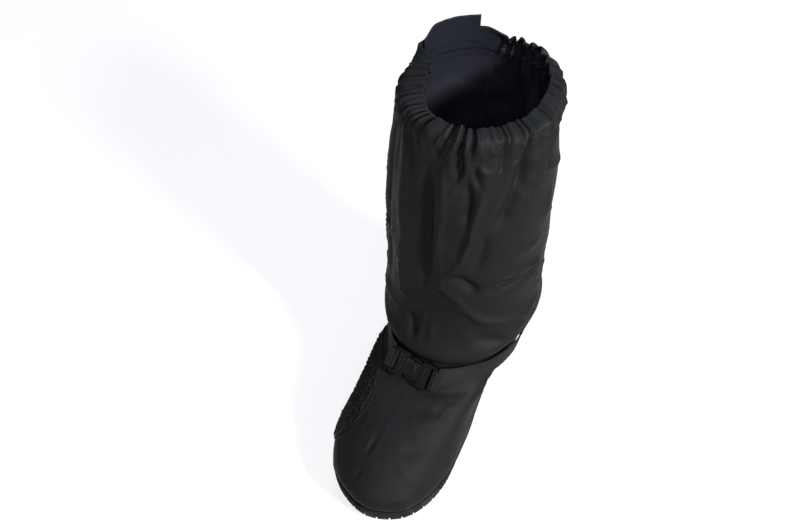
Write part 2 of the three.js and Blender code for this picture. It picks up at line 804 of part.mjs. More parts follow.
// The webbing: from the buckle's outer end round the heel to its inner end, lying on the upper,
// lifted where it meets the buckle and slack at the outer side.
function makeStrap() {
  const inverse = buckleFrame.clone().invert();
  const out = new THREE.Vector3().setFromMatrixColumn(buckleFrame, 2);
  const reach = buckleLength / 2 + 2 * clearance;
  const angleAtEnd = (side) => {
    let near = buckleAngle;
    let far = buckleAngle + side * 60 * degree;
    for (let i = 0; i < 30; i++) {
      const middle = (near + far) / 2;
      const x = upperFace(middle, STRAP_MIDDLE).applyMatrix4(inverse).x;
      if (side * x < reach) near = middle;
      else far = middle;
    }
    return near;
  };
  const start = angleAtEnd(1);
  const end = angleAtEnd(-1) + 2 * Math.PI;
  const middleHeight = buckleThickness / 2;
  const drop = (angle) => middleHeight - upperFace(angle, STRAP_MIDDLE).applyMatrix4(inverse).z;
  const seat = 1.5 * clearance;
  const fade = 26 * degree;
  const slackAt = 66 * degree;
  const skin = (offset) => (angle, row) => {
    const rise =
      drop(start) * (1 - smooth(start, start + fade, angle)) +
      drop(end) * smooth(end - fade, end, angle);
    const bump = (middle, half) =>
      smooth(middle - half, middle - half / 3, angle) * (1 - smooth(middle + half / 3, middle + half, angle));
    const slack = strapSlack * bump(slackAt, 32 * degree);
    const overZip = (zipStack + 3 * clearance) * bump(zipTurn + 2 * Math.PI, 36 * degree);
    const point = upperPoint(angle, row, offset + slack + overZip).addScaledVector(out, rise);
    const local = point.clone().applyMatrix4(inverse);
    if (local.z < -buckleWidth || Math.abs(local.x) > reach) return point;
    local.x = Math.sign(local.x) * reach;
    return local.applyMatrix4(buckleFrame);
  };
  const angles = evenly(start, end, 47);
  const rows = [STRAP_LOW, STRAP_MIDDLE, STRAP_HIGH];
  return solidBetween(
    grid(rows, angles, skin(seat + webbingThickness)),
    grid(rows, angles, skin(seat)),
  );
}

// The zip: two tapes and a coil, one strip up the inner back of the shaft.
function makeZip() {
  const across = [
    // place across, height over the cloth
    [-zipTapeWidth / 2, zipTapeThickness],
    [-zipCoilWidth / 2 - 0.4, zipTapeThickness],
    [-zipCoilWidth / 2 + 0.5, zipStack],
    [zipCoilWidth / 2 - 0.5, zipStack],
    [zipCoilWidth / 2 + 0.4, zipTapeThickness],
    [zipTapeWidth / 2, zipTapeThickness],
  ];
  const first = rowAtHeight(zipTurn, zipFoot);
  const last = rowAtHeight(zipTurn, zipTop);
  const rows = [first, ...UPPER_ROWS.filter((row) => row > first + 0.1 && row < last - 0.1), last];
  const skin = (top) => (column, row) => {
    const [place, thickness] = column;
    const step = 0.01;
    const length = upperFace(zipTurn + step, row).distanceTo(upperFace(zipTurn - step, row));
    const angle = zipTurn + (place / length) * 2 * step;
    return upperPoint(angle, row, 2 * clearance + (top ? thickness : 0));
  };
  return solidBetween(grid(rows, across, skin(true)), grid(rows, across, skin(false)));
}

// The slider's own frame has X level along the cloth, Y up the zip and Z out of it.
const sliderPlace = zipTop - sliderLength / 2 - 3;
const sliderFrame = upperFrame(zipTurn, rowAtHeight(zipTurn, sliderPlace));
const sliderSeat = zipStack + 5 * clearance;
const eyeRadius = pinDiameter / 2 + clearance + eyeWall;
const pinHeight = sliderSeat + sliderPlate + clearance + eyeRadius;
const pinPlace = sliderLength / 2 - eyeRadius - 0.5;

function makeSlider() {
  const flangeX = sliderWidth / 2 - sliderPlate / 2;
  const flangeFoot = zipTapeThickness + 5 * clearance;
  const flangeTop = sliderSeat + sliderPlate / 2;
  const flange = (side) =>
    box(sliderPlate, sliderLength - 4, flangeTop - flangeFoot, side * flangeX, 0, (flangeTop + flangeFoot) / 2);
  const earX = eyeWidth / 2 + clearance + earThickness / 2;
  const earTop = pinHeight + pinDiameter / 2 + 0.5;
  const earBase = sliderSeat + sliderPlate / 2;
  const ear = (side) =>
    box(earThickness, 2 * eyeRadius, earTop - earBase, side * earX, pinPlace, (earTop + earBase) / 2);
  const pin = new THREE.CylinderGeometry(pinDiameter / 2, pinDiameter / 2, 2 * earX, 12)
    .rotateZ(Math.PI / 2)
    .translate(0, pinPlace, pinHeight);
  const plate = roundPlate(sliderWidth, sliderLength, sliderPlate, 2.5, 0, 0, sliderSeat);
  return geometryOfSolid(joined([plate, flange(-1), flange(1), ear(-1), ear(1), pin]));
}

// The pull hangs from the slider's pin. Its own frame has its origin on the pin, X along the pin
// and Y as nearly upright as the pin lets it hang.
function makePullFrame() {
  const along = new THREE.Vector3().setFromMatrixColumn(sliderFrame, 0);
  const out = new THREE.Vector3().crossVectors(along, up).normalize();
  const upward = new THREE.Vector3().crossVectors(out, along);
  const pin = new THREE.Vector3(0, pinPlace, pinHeight).applyMatrix4(sliderFrame);
  return new THREE.Matrix4().makeBasis(along, upward, out).setPosition(pin);
}

function makePull() {
  const eye = new THREE.CylinderGeometry(eyeRadius, eyeRadius, eyeWidth, 16).rotateZ(Math.PI / 2);
  const boreRadius = pinDiameter / 2 + clearance;
  const bore = new THREE.CylinderGeometry(boreRadius, boreRadius, eyeWidth * 2, 16).rotateZ(Math.PI / 2);
  const tabTop = -eyeRadius - 1.4;
  const neck = box(eyeWidth, 3, pullThickness, 0, -eyeRadius - 0.6, 0);
  const tab = roundPlate(pullWidth, pullLength, pullThickness, 1.8, 0, tabTop - pullLength / 2, -pullThickness / 2);
  const ringRadius = (ringOuter - ringWire) / 2;
  const ring = new THREE.TorusGeometry(ringRadius, ringWire / 2, 6, 18)
    .translate(0, tabTop - pullLength - ringRadius + ringWire, 0);
  return geometryOfSolid(joined([eye, neck, tab, ring]).subtract(solidOf(bore)));
}

const part = new THREE.Group();

function add(name, geometry, color, roughness, metalness = 0) {
  const mesh = new THREE.Mesh(geometry, new THREE.MeshStandardMaterial({ color, roughness, metalness }));
  mesh.name = name;
  part.add(mesh);
  return mesh;
}

add("outsole", makeSole(), 0x23251f, 0.75);
add("upper", makeUpper(), 0x15161a, 0.6);
add("collar_casing", makeCasing(), 0x1b1c24, 0.6);
add("collar_hem", makeHem(), 0x17172a, 0.6);
add("closure_tab", makeTab(), 0x17172a, 0.7);
add("vamp_seam", makeSeam(), 0x15161a, 0.6);
add("grip_patch", makePatch(), 0x15150f, 0.8);
add("buckle_socket", makeSocket(), 0x101010, 0.4).applyMatrix4(buckleFrame);
add("buckle_plug", makePlug(), 0x101010, 0.4).applyMatrix4(buckleFrame);
add("ankle_strap", makeStrap(), 0x121212, 0.8);
add("zip_chain", makeZip(), 0x101010, 0.7);
add("zip_slider", makeSlider(), 0x8a8a88, 0.35, 0.9).applyMatrix4(sliderFrame);
add("zip_pull", makePull(), 0x8a8a88, 0.35, 0.9).applyMatrix4(makePullFrame());

export default part;
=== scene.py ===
# %% [markdown]
# # Dressing a rain overboot
#
# The frame already holds this left boot's solids at their true size: a lugged sole, a cloth upper,
# a gathered collar, a strap with its buckle and a zip. Here each of them gets its real surface.
# Cloth is made as one fine skin that is pushed in and out by a list of folds, so that every piece
# sewn to it can follow the same folds.

import math

import bmesh
import bpy
import numpy as np
from mathutils import Matrix, Vector


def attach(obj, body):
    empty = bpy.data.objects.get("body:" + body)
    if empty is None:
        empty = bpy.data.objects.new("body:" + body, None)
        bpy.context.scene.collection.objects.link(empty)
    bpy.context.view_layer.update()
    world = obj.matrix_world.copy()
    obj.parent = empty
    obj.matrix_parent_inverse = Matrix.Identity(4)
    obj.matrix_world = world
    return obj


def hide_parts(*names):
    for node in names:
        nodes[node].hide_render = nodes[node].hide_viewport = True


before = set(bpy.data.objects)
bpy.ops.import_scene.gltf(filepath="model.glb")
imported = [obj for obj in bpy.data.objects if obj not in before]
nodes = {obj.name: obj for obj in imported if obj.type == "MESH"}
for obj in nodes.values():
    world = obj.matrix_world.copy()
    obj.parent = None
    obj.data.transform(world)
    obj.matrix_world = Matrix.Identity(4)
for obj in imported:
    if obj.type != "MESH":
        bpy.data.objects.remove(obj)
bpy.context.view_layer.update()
print("nodes of the frame:", sorted(nodes))

# %% [markdown]
# ## The camera
#
# The camera stands in front of the boot and high above it, a little to its outer side, and looks
# down at about fifty degrees. It comes first, so that every piece can be judged in the frame.

# %% Camera
mm = 0.001
yaw = math.radians(28.6)
down = math.radians(49.3)
roll = math.radians(-0.46)
camera_place = (221 * mm, -585 * mm, 846 * mm)
camera_data = bpy.data.cameras.new("camera")
camera_data.sensor_width = 36
camera_data.lens = 41.07
camera_data.clip_start = 0.05
camera = bpy.data.objects.new("camera", camera_data)
camera.location = camera_place
turned = Matrix.Rotation(yaw, 4, "Z") @ Matrix.Rotation(math.pi / 2 - down, 4, "X")
camera.rotation_euler = (turned @ Matrix.Rotation(roll, 4, "Z")).to_euler()
bpy.context.scene.collection.objects.link(camera)
bpy.context.scene.camera = camera
print("camera at", tuple(round(v, 3) for v in camera.location))

# %% [markdown]
# ## Light and floor
#
# Near-black cloth shows its form by what it reflects, not by its colour. A small strong key light
# on the right draws the folds. Two weaker ones in front, one high and one low, keep their shadows
# readable. A bluish one over the back lights the inside of the mouth, and a glowing white floor
# fills from below.


# %% Light and floor
def area_light(name, place, aim, size, watts, colour=(1.0, 1.0, 1.0)):
    data = bpy.data.lights.new(name, "AREA")
    data.shape = "DISK"
    data.size = size
    data.energy = watts
    data.color = colour
    light = bpy.data.objects.new(name, data)
    light.location = place
    light.rotation_euler = (Vector(aim) - Vector(place)).to_track_quat("-Z", "Y").to_euler()
    bpy.context.scene.collection.objects.link(light)
    return light


def set_inputs(node, values):
    for label, value in values.items():
        node.inputs[label].default_value = value


boot_middle = (0.0, -0.07, 0.2)
shaft_middle = (0.0, -0.05, 0.25)
area_light("key", (1.6, -0.5, 1.3), shaft_middle, 0.3, 106)
area_light("fill", (0.4, -1.3, 1.95), boot_middle, 0.8, 20, (0.97, 1.0, 0.94))
area_light("front", (0.75, -1.8, 0.85), shaft_middle, 0.5, 8, (0.98, 1.0, 0.98))
area_light("top", (-0.25, 0.45, 2.1), boot_middle, 0.9, 34, (0.66, 0.76, 1.0))

world = bpy.data.worlds.new("studio")
world.use_nodes = True
set_inputs(world.node_tree.nodes["Background"], {"Color": (0.8, 0.88, 1.0, 1.0), "Strength": 0.42})
bpy.context.scene.world = world
bpy.context.scene.view_settings.view_transform = "Standard"

floor_half = 4.0
floor_drop = 0.4 * mm
floor_mesh = bpy.data.meshes.new("floor")
sheet = bmesh.new()
bmesh.ops.create_grid(sheet, x_segments=2, y_segments=2, size=floor_half)
bmesh.ops.translate(sheet, verts=sheet.verts, vec=(0.0, 0.0, -floor_drop))
sheet.to_mesh(floor_mesh)
sheet.free()
floor = bpy.data.objects.new("floor", floor_mesh)
bpy.context.scene.collection.objects.link(floor)
paper = bpy.data.materials.new("paper")
paper.use_nodes = True
set_inputs(paper.node_tree.nodes["Principled BSDF"], {
    "Base Color": (0.12, 0.12, 0.12, 1.0),
    "Roughness": 0.9,
    "Emission Color": (1.0, 1.0, 1.0, 1.0),
    "Emission Strength": 0.78,
})
floor_mesh.materials.append(paper)
print("floor and four lights set")

# %% [markdown]
# ## The boot's own sizes
#
# The cloth has to meet the frame everywhere, so the skin is worked out from the same sections that
# the solids were: rings round the foot and the leg, each given by its front, back and width. Angles
# go round each ring: nothing at the toe, a quarter turn at the outer side, half a turn at the heel.

# %% Sizes and sections
sole_length = 300 * mm
heel_back = 40 * mm
ball_width = 124 * mm
heel_width = 80 * mm
lug_depth = 4.5 * mm
plate_thickness = 5 * mm
lip_height = 4.5 * mm
lip_thickness = 3 * mm
toe_spring = 10 * mm
arch_rise = 3 * mm
instep_height = 100 * mm
ankle_height = 114 * mm
shaft_height = 369 * mm
shaft_width = 154 * mm
shaft_depth = 148 * mm
casing_width = 140 * mm
casing_depth = 148 * mm
collar_width = 102 * mm
collar_depth = 134 * mm
casing_height = 24 * mm
flat_rise = 5 * mm
upper_wall = 1.4 * mm
webbing_width = 20 * mm
clearance = 0.3 * mm
plate_top = lug_depth + plate_thickness
lip_top = plate_top + lip_height
upper_inset = lip_thickness + clearance

OUTLINE = [
    # along, inner, outer
    (0.03, 0.25, 0.25),
    (0.09, 0.41, 0.41),
    (0.2, 0.49, 0.5),
    (0.38, 0.42, 0.5),
    (0.52, 0.4, 0.475),
    (0.66, 0.465, 0.485),
    (0.76, 0.49, 0.495),
    (0.86, 0.42, 0.45),
    (0.94, 0.27, 0.35),
    (0.985, 0.09, 0.2),
]
toe_centre = 0.06
FOOT = [
    # front height, back height, front, back, half, middle, grow, round, webbing
    (0.19, 0.145, 1.003, -0.003, 0.5, 0.004, -0.6, 0, 0),
    (0.295, 0.22, 1.007, -0.01, 0.508, 0.012, 0, 0, 0),
    (0.42, 0.32, 0.998, -0.013, 0.505, 0.016, 0, 0.08, 0),
    (0.53, 0.42, 0.965, -0.013, 0.493, 0.018, 0, 0.2, 0),
    (0.635, 0.52, 0.912, -0.01, 0.49, 0.02, 0, 0.4, 0),
    (0.72, 0.62, 0.835, -0.008, 0.5, 0.022, 0, 0.6, 0),
    (0.8, 0.74, 0.745, -0.005, 0.52, 0.026, 0, 0.8, 0),
    (0.865, 0.865, 0.655, 0, 0.53, 0.036, 0, 0.95, 0),
    (1, 1, 0.608, 0, 0.535, 0.05, 0, 1, -1),
    (1, 1, 0.585, 0, 0.54, 0.05, 0, 1, 0),
    (1, 1, 0.561, 0.002, 0.555, 0.045, 0, 1, 1),
]
SHAFT = [
    # rise, centre, half depth, half width, middle
    (0.075, 0.28, 0.585, 0.485, 0.034),
    (0.13, 0.272, 0.555, 0.49, 0.03),
    (0.22, 0.262, 0.51, 0.498, 0.012),
    (0.38, 0.25, 0.5, 0.5, 0.004),
    (0.56, 0.238, 0.505, 0.503, -0.008),
    (0.73, 0.22, 0.507, 0.495, -0.014),
    (0.8, 0.211, 0.503, 0.485, -0.018),
]
COLLAR = [
    # height, gather, centre, middle
    (0, 0, 0.193, -0.035),
    (0.5, 0, 0.19, -0.03),
    (0.84, 0.2, 0.182, -0.018),
    (1, 1, 0.173, -0.006),
]
front_slope = 0.36


def along_to_y(along):
    return heel_back - along * sole_length


def mix(a, b, share):
    return a + (b - a) * share


def smooth(edge0, edge1, x):
    share = np.clip((x - edge0) / (edge1 - edge0), 0.0, 1.0)
    return share * share * (3 - 2 * share)


def smooth_curve(t, start, leave, end, arrive):
    """A cubic from start to end that sets out along leave and comes in along arrive."""
    return (
        (2 * t**3 - 3 * t**2 + 1) * start + (t**3 - 2 * t**2 + t) * leave
        + (3 * t**2 - 2 * t**3) * end + (t**3 - t**2) * arrive
    )


def length_along(path):
    """The length run from a path's first point to each of its points."""
    return np.concatenate([[0], np.cumsum(np.linalg.norm(np.diff(path, axis=0), axis=1))])


def make_sections():
    """One row for each ring, in the order of the column names FRONT_HEIGHT to ROUND."""
    rings = []
    for height in (plate_top + clearance, lip_top):
        front, back = along_to_y(1), along_to_y(0)
        rings.append((height, height, front, back, ball_width / 2, 0, -upper_inset, 0))
    for fh, bh, front, back, half, middle, grow, round_, web in FOOT:
        rings.append((
            fh * instep_height + web * webbing_width * front_slope,
            bh * ankle_height + web * webbing_width / 2,
            along_to_y(front), along_to_y(back), half * ball_width, middle * ball_width,
            grow * lip_thickness, round_,
        ))
    for rise, centre, depth, width, middle in SHAFT:
        rings.append((
            mix(instep_height, shaft_height, rise), mix(ankle_height, shaft_height, rise),
            along_to_y(centre) - depth * shaft_depth, along_to_y(centre) + depth * shaft_depth,
            width * shaft_width, middle * shaft_width, 0, 1,
        ))
    for height, gather, centre, middle in COLLAR:
        depth = mix(casing_depth, collar_depth, gather)
        width = mix(casing_width, collar_width, gather)
        level = shaft_height - casing_height * (1 - height)
        rings.append((
            level, level, along_to_y(centre) - depth / 2, along_to_y(centre) + depth / 2,
            width / 2, middle * casing_width, 0, 1,
        ))
    return np.array(rings, float)


sections = make_sections()
top_row = len(sections) - 1
collar_low = top_row - len(COLLAR) + 1
strap_row = 2 + len(FOOT) - 2
FRONT_HEIGHT, BACK_HEIGHT, FRONT, BACK, HALF, MIDDLE, GROW, ROUND = range(8)
print(len(sections), "rings from the sole to the rim")


# %% [markdown]
# ## The sole's outline
#
# A smooth closed curve runs through the table of widths. It is measured along its length, so that
# equal turns give equal steps along each half of the foot.


# %% The outline curve
def outline_curve(steps=120):
    def edge(row, column, sign):
        width = mix(heel_width, ball_width, smooth(0.2, 0.6, row[0]))
        return np.array([sign * row[column] * width, along_to_y(row[0])])

    outer = [edge(row, 2, 1) for row in reversed(OUTLINE)]
    inner = [edge(row, 1, -1) for row in OUTLINE]
    toe = np.array([toe_centre * ball_width, along_to_y(1)])
    ring = [toe, *outer, np.array([0.0, heel_back]), *inner]
    t = (np.arange(steps) / steps)[:, None]
    curve = []
    for i in range(len(ring)):
        before, start, end, after = (ring[(i + k) % len(ring)] for k in (-1, 0, 1, 2))
        steps_between = ((before, start), (start, end), (end, after))
        d0, d1, d2 = (math.sqrt(math.dist(a, b)) for a, b in steps_between)
        leave = ((start - before) / d0 - (end - before) / (d0 + d1) + (end - start) / d1) * d1
        arrive = ((end - start) / d1 - (after - start) / (d1 + d2) + (after - end) / d2) * d1
        curve.append(smooth_curve(t, start, leave, end, arrive))
    curve = np.concatenate(curve + [curve[0][:1]])
    return curve, length_along(curve)


outline, outline_length = outline_curve()
outline_round = float(outline_length[-1])
outline_share = outline_length / outline_length[-1]
heel_search = 600
coarse = np.interp(np.arange(heel_search) / heel_search, outline_share, outline[:, 1])
heel_share = float(np.argmax(coarse)) / heel_search


def outline_point(turn, grow=0.0):
    """The outline's place at a turn, moved out by grow."""

    def at(share):
        return [np.interp(share, outline_share, outline[:, k]) for k in (0, 1)]

    share = np.mod(turn / (2 * np.pi), 1.0)
    past_heel = heel_share + (share * 2 - 1) * (1 - heel_share)
    share = np.where(share < 0.5, share * 2 * heel_share, past_heel)
    place = at(share)
    step = 0.0015
    ahead, behind = at(np.mod(share + step, 1)), at(np.mod(share - step, 1))
    out_x, out_y = -(ahead[1] - behind[1]), ahead[0] - behind[0]
    size = np.hypot(out_x, out_y)
    sign = np.sign(out_x * place[0] + out_y * (place[1] - along_to_y(0.5)))
    return place[0] + sign * out_x / size * grow, place[1] + sign * out_y / size * grow


def tread_rise(y):
    """How far the tread lifts off the floor: at the toe, under the arch and a little at the heel."""
    along = (heel_back - y) / sole_length
    arch = arch_rise * smooth(0.27, 0.36, along) * (1 - smooth(0.46, 0.55, along))
    front = np.maximum(0, along - 0.74) / 0.26
    back = np.maximum(0, 0.05 - along) / 0.05
    return arch + toe_spring * front**2 + 1.5 * mm * back**2


print("outline", round(outline_round, 4), "m round")


# %% [markdown]
# ## The cloth's own surface
#
# From the rings comes one function: a turn and a row give a place on the upper. Between rings it is
# a smooth curve. Where the collar isn't gathered, at the inner back, the rim stands straight up.


# %% The upper's surface
column_step = math.radians(7.5)
flat_start = -23 * column_step
flat_end = -12 * column_step
flat_blend = 2 * column_step


def flat_share(turn):
    """One where the collar stands straight at the inner back and nothing where it is gathered."""
    turned = np.mod(turn, 2 * np.pi) - 2 * np.pi
    return smooth(flat_start, flat_start + flat_blend, turned) * (
        1 - smooth(flat_end - flat_blend, flat_end, turned)
    )


def section_value(column, row):
    """One column of the sections at any row, and in a straight line past the last."""
    row = np.asarray(row, float)
    i = np.floor(np.minimum(row, top_row - 1e-9)).astype(int)
    a, b, c, d = (sections[np.clip(i + k, 0, top_row), column] for k in (-1, 0, 1, 2))
    inside = smooth_curve(row - i, b, (c - a) / 2, c, (d - b) / 2)
    last, previous = sections[top_row, column], sections[top_row - 1, column]
    return np.where(row >= top_row, last + (last - previous) * (row - top_row), inside)


def upper_face(turn, row):
    """Places on the upper's outer face, as an array of x, y, z."""
    turn, row = np.broadcast_arrays(np.asarray(turn, float), np.asarray(row, float))
    flat = np.where(row > collar_low, flat_share(turn), 0.0)
    low_row = np.minimum(row, collar_low)

    def value(column):
        return mix(section_value(column, row), section_value(column, low_row), flat)

    round_ = np.clip(section_value(ROUND, row), 0, 1)
    front, back, half = value(FRONT), value(BACK), value(HALF)
    grow = np.where(row <= 1, -upper_inset, section_value(GROW, row))
    foot_x, foot_y = outline_point(turn, grow)
    shape_x = mix(foot_x / (ball_width / 2), np.sin(turn), round_)
    shape_y = mix((foot_y - along_to_y(0.5)) / (sole_length / 2), -np.cos(turn), round_)
    x = value(MIDDLE) + shape_x * half
    y = (front + back) / 2 + shape_y * (back - front) / 2
    share = (y - front) / (back - front)
    low, high = section_value(FRONT_HEIGHT, row), section_value(BACK_HEIGHT, row)
    lift = tread_rise(y) * (1 - smooth(lip_top, instep_height * 0.7, low))
    stand = flat_rise * flat * smooth(collar_low, top_row, row)
    return np.stack([x, y, mix(low, high, share) + lift + stand], -1)


def unit(vectors):
    return vectors / np.maximum(np.linalg.norm(vectors, axis=-1, keepdims=True), 1e-12)


def upper_normal(turn, row):
    step = 0.02
    low = np.where(np.asarray(row) <= 1, 0.0, row - step)
    high = np.where(np.asarray(row) <= 1, 1.0, row + step)
    along = upper_face(np.asarray(turn) + step, row) - upper_face(np.asarray(turn) - step, row)
    return unit(np.cross(along, upper_face(turn, high) - upper_face(turn, low)))


def row_at_height(turn, height):
    """The row where the upper's face reaches a height, by halving."""
    low = np.zeros(np.broadcast(turn, height).shape)
    high = np.full(low.shape, top_row + 1.5)
    for _ in range(30):
        middle = (low + high) / 2
        below = upper_face(turn, middle)[..., 2] < height
        low = np.where(below, middle, low)
        high = np.where(below, high, middle)
    return (low + high) / 2


probe = upper_face(np.radians([0, 90, 180, 270]), np.full(4, 16.0))
print("a ring of the shaft, in mm:", (probe / mm).round(1).tolist())


# %% [markdown]
# ## The folds
#
# Coated cloth hangs in a few large folds and many small ones. The large ones are listed one by one.
# Each is a line on the boot, a width and a depth: a ridge stands out, a trough goes in. A place on
# the shaft is a turn in degrees and a share of the shaft's height; a place on the foot is a share
# of the sole's length from the heel and a share of the ball's width from the middle line. Widths
# and depths are shares of the shaft's width. Everything that is sewn on reads the same list.


# %% Folds of the shaft and the foot
SHAFT_FOLDS = [
    # width, depth, then the line as pairs of turn and height
    # the broad valley down the front and the ridge beside it
    (0.052, -0.034, [(-11, 0.93), (-9, 0.87), (-7, 0.8), (-6, 0.7), (-6, 0.6), (-8, 0.5)]),
    (0.03, 0.020, [(0, 0.93), (3, 0.86), (4, 0.78), (3, 0.7), (5, 0.6), (6, 0.57)]),
    (0.07, 0.020, [(-30, 0.92), (-28, 0.8), (-26, 0.66), (-27, 0.55), (-24, 0.46)]),
    (0.05, -0.018, [(-52, 0.95), (-50, 0.8), (-50, 0.6), (-44, 0.45)]),
    # the corner where creases meet, in front
    (0.018, 0.016, [(6, 0.57), (13, 0.61), (20, 0.655), (23, 0.73), (24, 0.79)]),
    (0.016, 0.015, [(6, 0.575), (7, 0.545), (15, 0.528), (28, 0.497)]),
    (0.05, -0.026, [(12, 0.575), (22, 0.575), (33, 0.55)]),
    (0.045, -0.016, [(28, 0.62), (33, 0.68), (34, 0.74)]),
    # the crease that rises to the outer side, and the hollow under it
    (0.013, 0.019, [(35, 0.562), (42, 0.576), (55, 0.588), (77, 0.586), (100, 0.565)]),
    (0.04, -0.020, [(38, 0.53), (52, 0.545), (72, 0.545), (95, 0.53)]),
    (0.05, 0.014, [(45, 0.65), (58, 0.66), (80, 0.66)]),
    # the swell over the strap
    (0.035, 0.022, [(15, 0.5), (29, 0.475), (38, 0.445), (54, 0.422), (76, 0.41), (100, 0.415)]),
    (0.05, -0.014, [(30, 0.395), (45, 0.375), (58, 0.36)]),
    (0.03, 0.014, [(50, 0.385), (66, 0.372), (80, 0.38)]),
    (0.022, 0.014, [(-28, 0.56), (-26, 0.47), (-14, 0.45), (-6, 0.445)]),
    (0.035, -0.018, [(-18, 0.42), (-12, 0.4), (-9, 0.36)]),
    (0.012, 0.010, [(-4, 0.46), (-5, 0.414), (-5, 0.358)]),
    (0.030, 0.010, [(2, 0.42), (4, 0.37)]),
    # what runs down from the pleats
    (0.014, 0.016, [(2, 0.985), (0, 0.946), (-3, 0.9)]),
    (0.014, -0.018, [(12, 0.98), (13, 0.93), (14, 0.9)]),
    (0.014, 0.014, [(17, 0.95), (16, 0.905), (12, 0.87), (8, 0.844)]),
    (0.03, -0.022, [(19, 0.9), (20, 0.844), (20, 0.773)]),
    (0.022, -0.02, [(22, 0.95), (24, 0.9), (28, 0.866)]),
    (0.022, 0.018, [(21, 0.965), (24, 0.924), (30, 0.905), (36, 0.922), (40, 0.965)]),
    (0.025, 0.014, [(31, 0.88), (27, 0.816), (23, 0.735), (18, 0.66)]),
    (0.055, -0.03, [(57, 0.94), (54, 0.886), (50, 0.84), (44, 0.79), (38, 0.74)]),
    (0.016, 0.016, [(58, 0.966), (50, 0.926), (42, 0.907), (35, 0.898)]),
    (0.022, 0.012, [(70, 0.96), (72, 0.91), (74, 0.875)]),
    (0.024, 0.011, [(74, 0.872), (93, 0.847), (104, 0.84)]),
    (0.05, 0.012, [(84, 0.8), (82, 0.72)]),
    # the outer side and the back, which hang in the same way
    (0.06, -0.024, [(112, 0.93), (116, 0.82), (112, 0.7), (118, 0.6)]),
    (0.04, 0.016, [(132, 0.92), (136, 0.8), (130, 0.66), (138, 0.5)]),
    (0.018, 0.018, [(118, 0.62), (134, 0.56), (150, 0.57), (166, 0.54)]),
    (0.045, -0.022, [(122, 0.52), (142, 0.49), (160, 0.5)]),
    (0.05, -0.02, [(158, 0.9), (160, 0.78), (154, 0.68)]),
    (0.016, 0.016, [(152, 0.45), (166, 0.42), (182, 0.43)]),
    (0.05, 0.012, [(176, 0.86), (178, 0.7), (172, 0.58)]),
    (0.035, 0.016, [(110, 0.44), (136, 0.41), (160, 0.4), (190, 0.405)]),
    (0.05, -0.018, [(196, 0.9), (200, 0.75), (197, 0.6)]),
    (0.016, 0.016, [(204, 0.62), (192, 0.55), (182, 0.5)]),
    (0.04, -0.018, [(204, 0.5), (196, 0.45), (186, 0.46)]),
    # the inner side, in front of the zip
    (0.055, -0.022, [(262, 0.92), (258, 0.8), (262, 0.66)]),
    (0.04, 0.016, [(278, 0.93), (276, 0.8), (280, 0.66), (276, 0.54)]),
    (0.018, 0.018, [(256, 0.6), (268, 0.56), (284, 0.565), (298, 0.53)]),
    (0.045, -0.020, [(262, 0.51), (280, 0.49), (296, 0.5)]),
    (0.016, 0.014, [(262, 0.72), (274, 0.69), (288, 0.7)]),
    (0.035, 0.018, [(256, 0.42), (280, 0.4), (310, 0.41), (330, 0.4)]),
    (0.018, 0.012, [(300, 0.62), (312, 0.6), (322, 0.63)]),
]
FOOT_FOLDS = [
    # width, depth, then the line as pairs of along and across
    (0.03, -0.014, [(0.63, 0.03), (0.62, 0.16), (0.6, 0.3), (0.56, 0.43)]),
    (0.028, 0.010, [(0.665, 0.04), (0.655, 0.18), (0.63, 0.32)]),
    (0.03, -0.010, [(0.7, 0.12), (0.69, 0.24), (0.66, 0.36)]),
    (0.04, 0.008, [(0.74, 0.1), (0.73, 0.22), (0.7, 0.34)]),
    (0.016, -0.010, [(0.82, -0.03), (0.86, -0.06), (0.89, -0.05)]),
    (0.014, 0.008, [(0.83, -0.07), (0.87, -0.1)]),
    (0.014, -0.009, [(0.93, -0.04), (0.955, -0.07)]),
    (0.014, 0.007, [(0.9, 0.02), (0.94, 0.03)]),
    (0.05, -0.010, [(0.84, 0.16), (0.82, 0.26), (0.78, 0.36)]),
    (0.04, -0.012, [(0.5, 0.48), (0.46, 0.5), (0.42, 0.5)]),
    (0.03, 0.010, [(0.56, 0.5), (0.5, 0.53), (0.44, 0.54)]),
    (0.035, -0.012, [(0.52, -0.42), (0.46, -0.45), (0.4, -0.45)]),
    (0.03, 0.009, [(0.36, -0.44), (0.3, -0.43), (0.24, -0.42)]),
    (0.04, -0.010, [(0.3, 0.5), (0.24, 0.48), (0.16, 0.44)]),
]


def shaft_axis(z):
    """The middle of the leaning shaft at a height."""
    share = (z - 150 * mm) / (200 * mm)
    return (2 - 6 * share) * mm, (-40 + 23 * share) * mm


def turn_of(points):
    """Turn in degrees from the toe about the shaft's own leaning middle line."""
    x, y = shaft_axis(points[..., 2])
    return np.degrees(np.arctan2(points[..., 0] - x, -(points[..., 1] - y)))


survey_turns, survey_rows = np.meshgrid(
    np.radians(np.arange(0, 360, 1.5)), np.linspace(2, top_row, 150), indexing="ij"
)
survey = upper_face(survey_turns, survey_rows).reshape(-1, 3)
survey_turn = turn_of(survey)


def on_shaft(turn, height):
    away = np.mod(survey_turn - turn + 180, 360) - 180
    far = (away * 1.3 * mm) ** 2 + (survey[:, 2] - height * shaft_height) ** 2
    return survey[np.argmin(far + np.where(survey[:, 2] < 0.09, 1.0, 0.0))]


def on_foot(along, across):
    far = (survey[:, 1] - along_to_y(along)) ** 2 + (survey[:, 0] - across * ball_width) ** 2
    return survey[np.argmin(far + np.where(survey[:, 2] > 0.14, 1.0, 0.0))]


def fold_line(width, depth, line, find):
    return width * shaft_width, depth * shaft_width, np.array([find(*place) for place in line])


